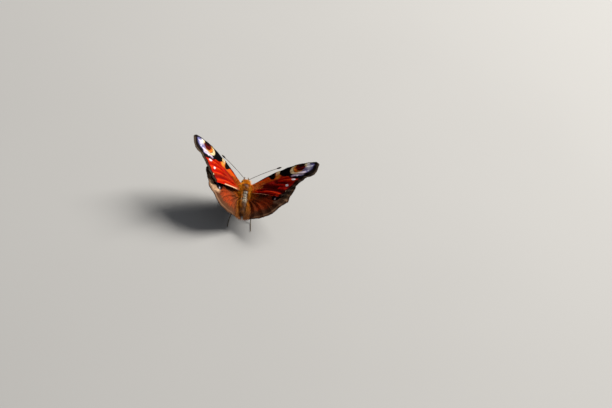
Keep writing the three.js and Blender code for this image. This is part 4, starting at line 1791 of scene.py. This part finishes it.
def sweep(name: str, stance: Stance, path: Rows, radii: Rows, sides: int = 4) -> Piece:
    """Make a round closed piece along a path.

    Args:
        name: its name.
        stance: where the animal stands.
        path: rows of x, y, z in millimetres.
        radii: radius at each row.
        sides: resolution of the round section.

    Returns:
        The piece as a mesh.
    """
    curve = bpy.data.curves.new(name, "CURVE")
    curve.dimensions = "3D"
    curve.bevel_depth = MM
    curve.bevel_resolution = sides
    curve.use_fill_caps = True
    spline = curve.splines.new("POLY")
    spline.points.add(len(path) - 1)
    rows = np.ones((len(path), 4))
    rows[:, :3] = stance.place(path)
    spline.points.foreach_set("co", rows.ravel())
    spline.points.foreach_set("radius", np.asarray(radii, float))
    take(add_object(name, curve))
    bpy.ops.object.convert(target="MESH")
    piece = bpy.context.object
    outward(piece, merge=0.004 * MM)
    smooth_faces(piece)
    return piece


def smooth_path(corners: tuple[Spot, ...], count: int, side: Side) -> Rows:
    """Smooth path through corners, on one side of the animal.

    Args:
        corners: points of the right side.
        count: number of points of the path.
        side: side of the animal.

    Returns:
        Rows of x, y, z.
    """
    return across_steps(side.own(corners), np.linspace(0, len(corners) - 1, count))


def join(pieces: list[Piece]) -> Piece:
    """Join pieces.

    Args:
        pieces: the pieces, of which the first one stays.

    Returns:
        The joined piece.
    """
    take(*pieces)
    bpy.ops.object.join()
    joined = bpy.context.object
    deselect()
    return joined


def round_directions(ahead: Rows, angle: Rows, hint: Spot) -> Rows:
    """Directions that stand square on a path.

    Args:
        ahead: direction of the path at each place, as rows of x, y, z or one for all.
        angle: angle round the path of each place.
        hint: the direction that stands square on the one at angle zero.

    Returns:
        One direction for each place.
    """
    ahead = np.broadcast_to(ahead, (len(angle), 3))
    over = unit(np.cross(ahead, hint))
    return over * np.cos(angle)[:, None] + np.cross(ahead, over) * np.sin(angle)[:, None]


@dataclass
class Feeler:
    """A feeler: a ringed shaft that ends in a club."""

    side: Side
    root: Spot = (0.4, 6.1, 1.0)
    tip: Spot = (12.5, 6.8, 11.1)
    arch: float = 0.5
    shaft: float = 0.105
    club: float = 0.36
    club_length: float = 2.4
    rings: int = 44

    def build(self, stance: Stance, material: Material) -> Piece:
        """Make the feeler.

        Args:
            stance: where the animal stands.
            material: finish of the shell.

        Returns:
            The feeler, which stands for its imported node.
        """
        root, tip = self.side.own((self.root, self.tip))
        length = np.linalg.norm(tip - root)
        t = np.linspace(0, 1, self.rings * 5 + 1)
        path = root + (tip - root) * t[:, None]
        path[:, 1] += self.arch * np.sin(math.pi * t)
        into = np.clip((t * length - length + self.club_length) / self.club_length, 0, 1)
        swell = np.sin(math.pi * np.minimum(into, 0.93) ** 1.1)
        ring = np.abs(np.sin(math.pi * self.rings * t)) ** 0.5
        radii = (self.shaft + (self.club - self.shaft) * swell) * (1 - (0.14 - 0.08 * swell) * (1 - ring))
        radii[:6] = np.linspace(2.0, 1.1, 6) * self.shaft
        name = f"antenna_{self.side.label}"
        piece = sweep(name, stance, path, radii, 5)
        points = (read_points(piece) - np.array(stance.middle)) / MM
        share = (points - root) @ (tip - root) / length**2
        banded = (np.abs((share * self.rings) % 1 - 0.5) > 0.3).astype(float)
        write_value(piece, "pale", np.where(share > 0.985, 1.6, banded * (share < 0.86)))
        return finish_piece(piece, name + "_rings", material, (name,))


@dataclass
class Tongue:
    """The coiled tongue under the head."""

    centre: Spot = (0.0, 6.75, -2.1)
    outer: float = 1.25
    inner: float = 0.42
    turns: float = 1.6
    radius: float = 0.2
    start: tuple[Spot, Spot] = ((0.0, 6.0, -0.5), (0.0, 6.3, -0.62))
    start_radii: Point = (0.24, 0.22)
    ribs: int = 60

    def build(self, stance: Stance, material: Material) -> Piece:
        """Make the tongue.

        Args:
            stance: where the animal stands.
            material: finish of the shell.

        Returns:
            The tongue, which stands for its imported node.
        """
        t = np.linspace(0, 1, 240)
        angle = 2 * math.pi * self.turns * t
        reach = self.outer + (self.inner - self.outer) * t
        coil = self.centre + np.stack([0 * t, reach * np.sin(angle), reach * np.cos(angle)], 1)
        ribs = 0.95 + 0.05 * np.sin(2 * math.pi * self.ribs * t)
        radii = np.concatenate([self.start_radii, self.radius * (1 - 0.45 * t) * ribs])
        piece = sweep("proboscis", stance, np.concatenate([self.start, coil]), radii, 5)
        write_value(piece, "pale", np.full(len(piece.data.vertices), 0.3))
        return finish_piece(piece, "proboscis_coil", material, ("proboscis",))


@dataclass
class Eye:
    """A compound eye: a dome bulging from the side of the head, flattened inwards."""

    side: Side
    centre: Spot = (0.85, 5.72, 0.15)
    radii: Spot = (0.95, 0.92, 0.98)
    inward: float = 0.3

    def build(self, stance: Stance, material: Material) -> Piece:
        """Make the eye.

        Args:
            stance: where the animal stands.
            material: finish of the eye.

        Returns:
            The eye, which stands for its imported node.
        """
        deselect()
        bpy.ops.mesh.primitive_uv_sphere_add(segments=48, ring_count=32, radius=1)
        piece = bpy.context.object
        ball = read_points(piece) * np.array(self.radii)
        ball[:, 0] *= np.where(ball[:, 0] * self.side.value < 0, self.inward, 1.0)
        write_points(piece, stance.place(ball + self.side.own(self.centre)))
        name = f"eye_{self.side.label}"
        return finish_piece(piece, name + "_dome", material, (name,))


@dataclass
class Palp:
    """A hairy feeler of the mouth that curves up in front of the face."""

    side: Side
    corners: tuple[Spot, ...] = ((0.62, 6.0, -0.62), (0.9, 6.9, -0.86), (0.94, 7.7, -0.45), (0.82, 8.25, 0.1))
    radius: float = 0.26
    hairs: int = 1300

    def build(self, stance: Stance, hair: Material) -> list[Piece]:
        """Make the palp and its hair.

        Args:
            stance: where the animal stands.
            hair: finish of the hair.

        Returns:
            The palp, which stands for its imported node, and its coat.
        """
        path = smooth_path(self.corners, 40, self.side)
        t = np.linspace(0, 1, len(path))
        radii = self.radius * np.sqrt(np.clip(1 - (2 * t - 0.85) ** 2 / 1.35, 0.02, 1)) * (1 - 0.45 * t)
        name = f"palp_{self.side.label}"
        core = sweep(name, stance, path, radii, 5)
        write_colour(core, "coat", np.tile(Fur.PALP_SKIN, (len(core.data.vertices), 1)))
        core = finish_piece(core, name + "_core", SkinFinish().material(name + "_skin"), (name,))
        coat = Coat(name + "_coat", 30 + self.side.value)
        share = coat.random.uniform(0.08, 1.0, self.hairs)
        angle = coat.random.uniform(0, 2 * math.pi, len(share))
        places = (share - 0.02, share, np.minimum(share + 0.02, 1))
        before, here, beyond = (across_steps(path, place * (len(path) - 1)) for place in places)
        ahead = unit(beyond - before)
        normals = round_directions(ahead, angle, (1.0, 0.0, 0.0))
        roots = here + normals * np.interp(share, t, radii)[:, None]
        pale = np.clip(normals[:, 0] * self.side.value, 0, 1)[:, None]
        colours = np.array(Fur.PALP_DARK) * (1 - pale) + np.array(Fur.PALP_PALE) * pale
        unwrap = np.stack([angle / (2 * math.pi), share], 1)
        coat.grow(roots, normals, ahead, unwrap, colours, Tuft(0.5, 0.055, 24))
        return [core, coat.build(stance, hair, "fur")]


@dataclass(frozen=True)
class LegPlan:
    """Joints of a leg on the right side, from the body outwards, and its radii at them."""

    hip: Spot
    knee: Spot
    ankle: Spot
    toe: Spot
    thigh: float = 0.33
    shin: float = 0.20
    foot: float = 0.15
    hair: float = 0.45


@dataclass
class Leg:
    """A jointed leg with a five-part foot, claws, spines and scales.

    Args:
        name: its name without the side.
        side: side of the animal.
        plan: its joints.
        spines: how many spines the shin has.
        foot_joints: where the foot's parts meet, as shares of its length.
        overlap: how far a part reaches over these places, upwards and downwards.
        foot_end: share of the foot's length where its last part ends.
        across: a direction across the leg that its hair and spines are set out from.
        thigh_hairs: number of the thigh's hairs.
        shin_scales: number of the shin's scales.
        scale_length: their mean length.
    """

    name: str
    side: Side
    plan: LegPlan
    spines: int = 14
    foot_joints: tuple[float, ...] = (0.0, 0.36, 0.56, 0.72, 0.86, 1.0)
    overlap: Point = (0.012, 0.018)
    foot_end: float = 0.99
    across: Spot = (0.0, 1.0, 0.3)
    thigh_hairs: int = 700
    shin_scales: int = 450
    scale_length: float = 0.22

    def build(self, stance: Stance, shell: Material, hair: Material) -> list[Piece]:
        """Make the leg.

        Args:
            stance: where the animal stands.
            shell: finish of the leg.
            hair: finish of its hair.

        Returns:
            The leg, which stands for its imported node, and its coat.
        """
        plan = self.plan
        hip, knee, ankle, toe = self.side.own((plan.hip, plan.knee, plan.ankle, plan.toe))
        parts = [
            self.length("thigh", stance, hip, knee, plan.thigh, 0.62),
            self.length("shin", stance, knee, ankle, plan.shin, 0.8),
        ]
        for a, b in zip(self.foot_joints[:-1], self.foot_joints[1:]):
            shares = (max(a - self.overlap[0], 0.0), min(b + self.overlap[1], self.foot_end))
            start, end = (ankle + (toe - ankle) * share for share in shares)
            parts.append(self.length("foot", stance, start, end, plan.foot, 0.85))
        parts += self.claws(stance, ankle, toe)
        parts += self.spurs(stance, knee, ankle)
        leg = join(parts)
        write_value(leg, "pale", np.full(len(leg.data.vertices), 1.0))
        full = f"{self.name}_{self.side.label}"
        leg = finish_piece(leg, full + "_shell", shell, (full,))
        return [leg, self.coat(full, hip, knee, ankle).build(stance, hair, "leg")]

    @staticmethod
    def length(name: str, stance: Stance, start: Rows, end: Rows, radius: float, taper: float) -> Piece:
        """Make one stretch of the leg, rounded at both ends.

        Args:
            name: its name.
            stance: where the animal stands.
            start: its upper end.
            end: its lower end.
            radius: radius at the upper end.
            taper: radius at the lower end as a share of that.

        Returns:
            The stretch.
        """
        t = np.linspace(0, 1, 25)
        from_end = np.minimum(t, 1 - t) * np.linalg.norm(end - start)
        nose = np.sqrt(np.clip(1 - (1 - from_end / radius) ** 2, 0.06, 1))
        nose = np.where(from_end > radius, 1.0, nose)
        belly = 1 + 0.12 * np.sin(math.pi * t)
        radii = radius * (1 + (taper - 1) * t) * belly * nose
        return sweep(name, stance, start + (end - start) * t[:, None], radii, 4)

    def claws(self, stance: Stance, ankle: Rows, toe: Rows) -> list[Piece]:
        """Make two small hooks at the end of the foot.

        Args:
            stance: where the animal stands.
            ankle: upper end of the foot.
            toe: lower end of the foot.

        Returns:
            The hooks.
        """
        up = np.array([0.0, 0.0, 1.0])
        ahead = (toe - ankle) / np.linalg.norm(toe - ankle)
        beside = np.cross(ahead, up)
        t = np.linspace(0, 1, 9)[:, None]
        made = []
        for way in (-1, 1):
            path = toe - ahead * 0.08 + (ahead * 0.35 + beside * way * 0.18) * t
            path = path + up * 0.09 * np.sin(math.pi * t)
            made.append(sweep("claw", stance, path, np.linspace(0.05, 0.012, 9), 2))
        return made

    def spurs(self, stance: Stance, knee: Rows, ankle: Rows) -> list[Piece]:
        """Make short spines along the shin, each turned on from the one before.

        Args:
            stance: where the animal stands.
            knee: upper end of the shin.
            ankle: lower end of the shin.

        Returns:
            The spines.
        """
        ahead = (ankle - knee) / np.linalg.norm(ankle - knee)
        numbers = np.arange(self.spines)
        shares = 0.25 + 0.72 * numbers / (self.spines - 1)
        t = np.linspace(0, 1, 4)[:, None]
        made = []
        for share, out in zip(shares, round_directions(ahead, 2.4 * numbers, self.across)):
            start = knee + (ankle - knee) * share + out * self.plan.shin * 0.6
            path = start + (out * 0.16 + ahead * 0.3) * t
            made.append(sweep("spine", stance, path, np.linspace(0.035, 0.008, 4), 1))
        return made

    def coat(self, full: str, hip: Rows, knee: Rows, ankle: Rows) -> Coat:
        """Grow the hair of the thigh and the scales of the shin.

        Args:
            full: name of the leg with its side.
            hip: upper end of the thigh.
            knee: where thigh and shin meet.
            ankle: lower end of the shin.

        Returns:
            The coat.
        """
        coat = Coat(full + "_coat", 50 + len(full) * 3 + self.side.value)
        for start, end, radius, count, length, upper in (
            (hip, knee, self.plan.thigh, self.thigh_hairs, self.plan.hair, 0.0),
            (knee, ankle, self.plan.shin, self.shin_scales, self.scale_length, 0.5),
        ):
            ahead = np.tile((end - start) / np.linalg.norm(end - start), (count, 1))
            share = coat.random.uniform(0.04, 0.94, count)
            angle = coat.random.uniform(0, 2 * math.pi, count)
            normals = round_directions(ahead, angle, self.across)
            roots = start + np.outer(share, end - start) + normals * radius * 0.85
            colours = np.tile(Fur.LEG, (count, 1)) * coat.random.uniform(0.5, 1.4, (count, 1))
            unwrap = np.stack([angle / (2 * math.pi), share * 0.5 + upper], 1)
            coat.grow(roots, normals, ahead, unwrap, colours, Tuft(length, 0.05, 18))
        return coat


LEGS = {
    "mid_leg": LegPlan((0.9, 0.3, -1.6), (4.9, 2.6, -2.2), (7.2, 4.1, -6.62), (9.5, 7.2, -6.64)),
    "hind_leg": LegPlan((0.9, -1.9, -1.75), (3.3, -6.8, -1.7), (4.5, -10.8, -6.62), (4.8, -15.7, -6.64)),
    "foreleg": LegPlan(
        (0.9, 2.2, -1.6), (1.52, 4.2, -2.85), (1.5, 5.5, -2.8), (1.5, 6.3, -2.75),
        thigh=0.27, shin=0.2, foot=0.14, hair=0.7,
    ),
}


@dataclass(frozen=True)
class Studio:
    """Camera, lights and floor.

    The camera stands where it saw the animal in the photo: angles in degrees relative to the
    body, distance in millimetres. The aim is how far the middle of the thorax stands right of
    and above the middle of the image, as a share of the image's width.
    """

    azimuth: float = -6.49
    elevation: float = 40.91
    roll: float = 15.93
    distance: float = 698.0
    lens: float = 100.0
    sensor: float = 36.0
    aim: Point = (-0.0996, 0.0201)
    floor_size: float = 6.0
    sky_tint: Colour = (0.9, 0.93, 1.0)
    sky_strength: float = 0.14

    def camera(self, stance: Stance) -> Piece:
        """Make the camera.

        Args:
            stance: where the animal stands.

        Returns:
            The camera, set as the scene's own.
        """
        a, e, r = (math.radians(v) for v in (self.azimuth, self.elevation, self.roll))
        back = Vector((math.sin(a) * math.cos(e), -math.cos(a) * math.cos(e), math.sin(e)))
        level = (-back).cross(Vector((0, 0, 1))).normalized()
        upright = level.cross(-back)
        right = level * math.cos(r) + upright * math.sin(r)
        up = upright * math.cos(r) - level * math.sin(r)
        spread = self.sensor / self.lens
        look = (-back - right * self.aim[0] * spread - up * self.aim[1] * spread).normalized()
        right = look.cross(up).normalized()
        up = right.cross(look)
        data = bpy.data.cameras.new("camera")
        data.lens, data.sensor_width = self.lens, self.sensor
        data.clip_start, data.clip_end = 0.01, 20.0
        camera = add_object("camera", data)
        turn = Matrix((right, up, -look)).transposed().to_4x4()
        camera.matrix_world = Matrix.Translation(stance.middle + back * self.distance * MM) @ turn
        bpy.context.scene.camera = camera
        return camera

    @staticmethod
    def light(name: str, direction: Spot, distance: float, size: float, power: float, tint: Colour) -> None:
        """Add a soft square light that shines on the animal.

        Args:
            name: its name.
            direction: from the animal to the light.
            distance: in metres.
            size: side of the square in metres.
            power: in watts.
            tint: colour of the light.
        """
        data = bpy.data.lights.new(name, "AREA")
        data.size, data.energy, data.color = size, power, tint
        lamp = add_object(name, data)
        way = Vector(direction).normalized()
        lamp.location = way * distance
        lamp.rotation_euler = way.to_track_quat("Z", "Y").to_euler()

    def build(self, stance: Stance) -> None:
        """Make the camera, the lights, the world and the floor.

        Args:
            stance: where the animal stands.
        """
        self.camera(stance)
        self.light("key", (0.53, 0.40, 0.68), distance=1.5, size=0.75, power=38.7, tint=(1.0, 0.97, 0.92))
        self.light("fill", (0.1, -1.0, 0.8), distance=0.9, size=0.6, power=0.1, tint=(0.92, 0.96, 1.0))
        world = bpy.data.worlds.new("studio")
        world.use_nodes = True
        sky = world.node_tree.nodes["Background"].inputs
        sky["Color"].default_value = (*self.sky_tint, 1.0)
        sky["Strength"].default_value = self.sky_strength
        bpy.context.scene.world = world
        bpy.context.scene.view_settings.view_transform = "Standard"
        deselect()
        bpy.ops.mesh.primitive_plane_add(size=self.floor_size)
        floor = bpy.context.object
        floor.name = "floor"
        floor.data.materials.append(FloorFinish().material("floor"))


FINISHES = {
    "forewing": ScaleFinish(
        crest=(0.82, 0.048, 0.003), ground=(0.56, 0.006, 0.001), valley=(0.070, 0.0012, 0.001),
    ),
    "hindwing": ScaleFinish(
        crest=(0.26, 0.060, 0.014), ground=(0.15, 0.028, 0.008), valley=(0.05, 0.013, 0.006),
    ),
}
SHELLS = {
    "feeler": ShellFinish(dark=(0.028, 0.018, 0.013), pale=(0.55, 0.45, 0.30)),
    "leg": ShellFinish(dark=(0.07, 0.045, 0.03), pale=(0.26, 0.19, 0.12), flecks=0.32, grain=0.08),
    "tongue": ShellFinish(dark=(0.035, 0.016, 0.010), pale=(0.07, 0.035, 0.02), roughness=0.35),
}
# Degrees that the right forewing is swept back further than the left one.
RIGHT_SWEEP = 2.8
# The right forewing stands almost edge-on to the light and is folded between its veins; each fold also
# darkens its scales as painted shade.
RIGHT_FOLDS = (
    Fold(((2.0, -2.0), (6.0, -3.2), (10.0, -5.4), (11.4, -6.5)), 0.95, 1.2),
    Fold(((13.4, -8.2), (15.4, -10.2)), 0.6, 1.1),
    Fold(((11.0, -2.9), (15.0, -5.4), (18.4, -8.2)), 0.5, 0.9),
    Fold(((3.0, -4.9), (7.0, -7.3), (11.0, -10.2)), 0.3, 0.8),
)
WINGS = (
    Wing("forewing", Side.LEFT, FOREWING, ForewingMarks(), FINISHES["forewing"], stiff_veins=6.5),
    # On the right forewing the wider black border and the narrower cream inner hem are painted shade.
    Wing(
        "forewing", Side.RIGHT, FOREWING, ForewingMarks(border_width=2.5, hem_width=0.15),
        FINISHES["forewing"], sag=0.6, sweep=RIGHT_SWEEP, stiff_veins=6.5, folds=RIGHT_FOLDS,
    ),
    Wing("hindwing", Side.LEFT, HINDWING, HindwingMarks(), FINISHES["hindwing"], stiff_veins=1.0),
    # On the right hindwing the dark band along the outer edge is painted shade.
    Wing(
        "hindwing", Side.RIGHT, HINDWING, HindwingMarks(dark_margin=4.5), FINISHES["hindwing"],
        stiff_veins=1.0,
    ),
)


def main() -> None:
    """Build the butterfly and the studio around it."""
    logging.basicConfig(level=logging.INFO, format="%(message)s")
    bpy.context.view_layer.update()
    stance = Stance.from_frame()
    Studio().build(stance)
    hair = FurFinish().material("hair")
    shell, leg_shell, tongue = (finish.material(name + "_shell") for name, finish in SHELLS.items())
    eye = EyeFinish().material("eye")
    body = Body()
    body.skin(stance)
    body.coat(stance, hair)
    Tongue().build(stance, tongue)
    material = None
    for number, wing in enumerate(WINGS):
        material = wing.build(stance, material if number % 2 else None).data.materials[0]
        wing.fringe(stance, hair, 20 + number)
    for side in Side:
        Eye(side).build(stance, eye)
        Palp(side).build(stance, hair)
        Feeler(side).build(stance, shell)
        for name, plan in LEGS.items():
            Leg(name, side, plan).build(stance, leg_shell, hair)


if __name__ == "__main__":
    main()
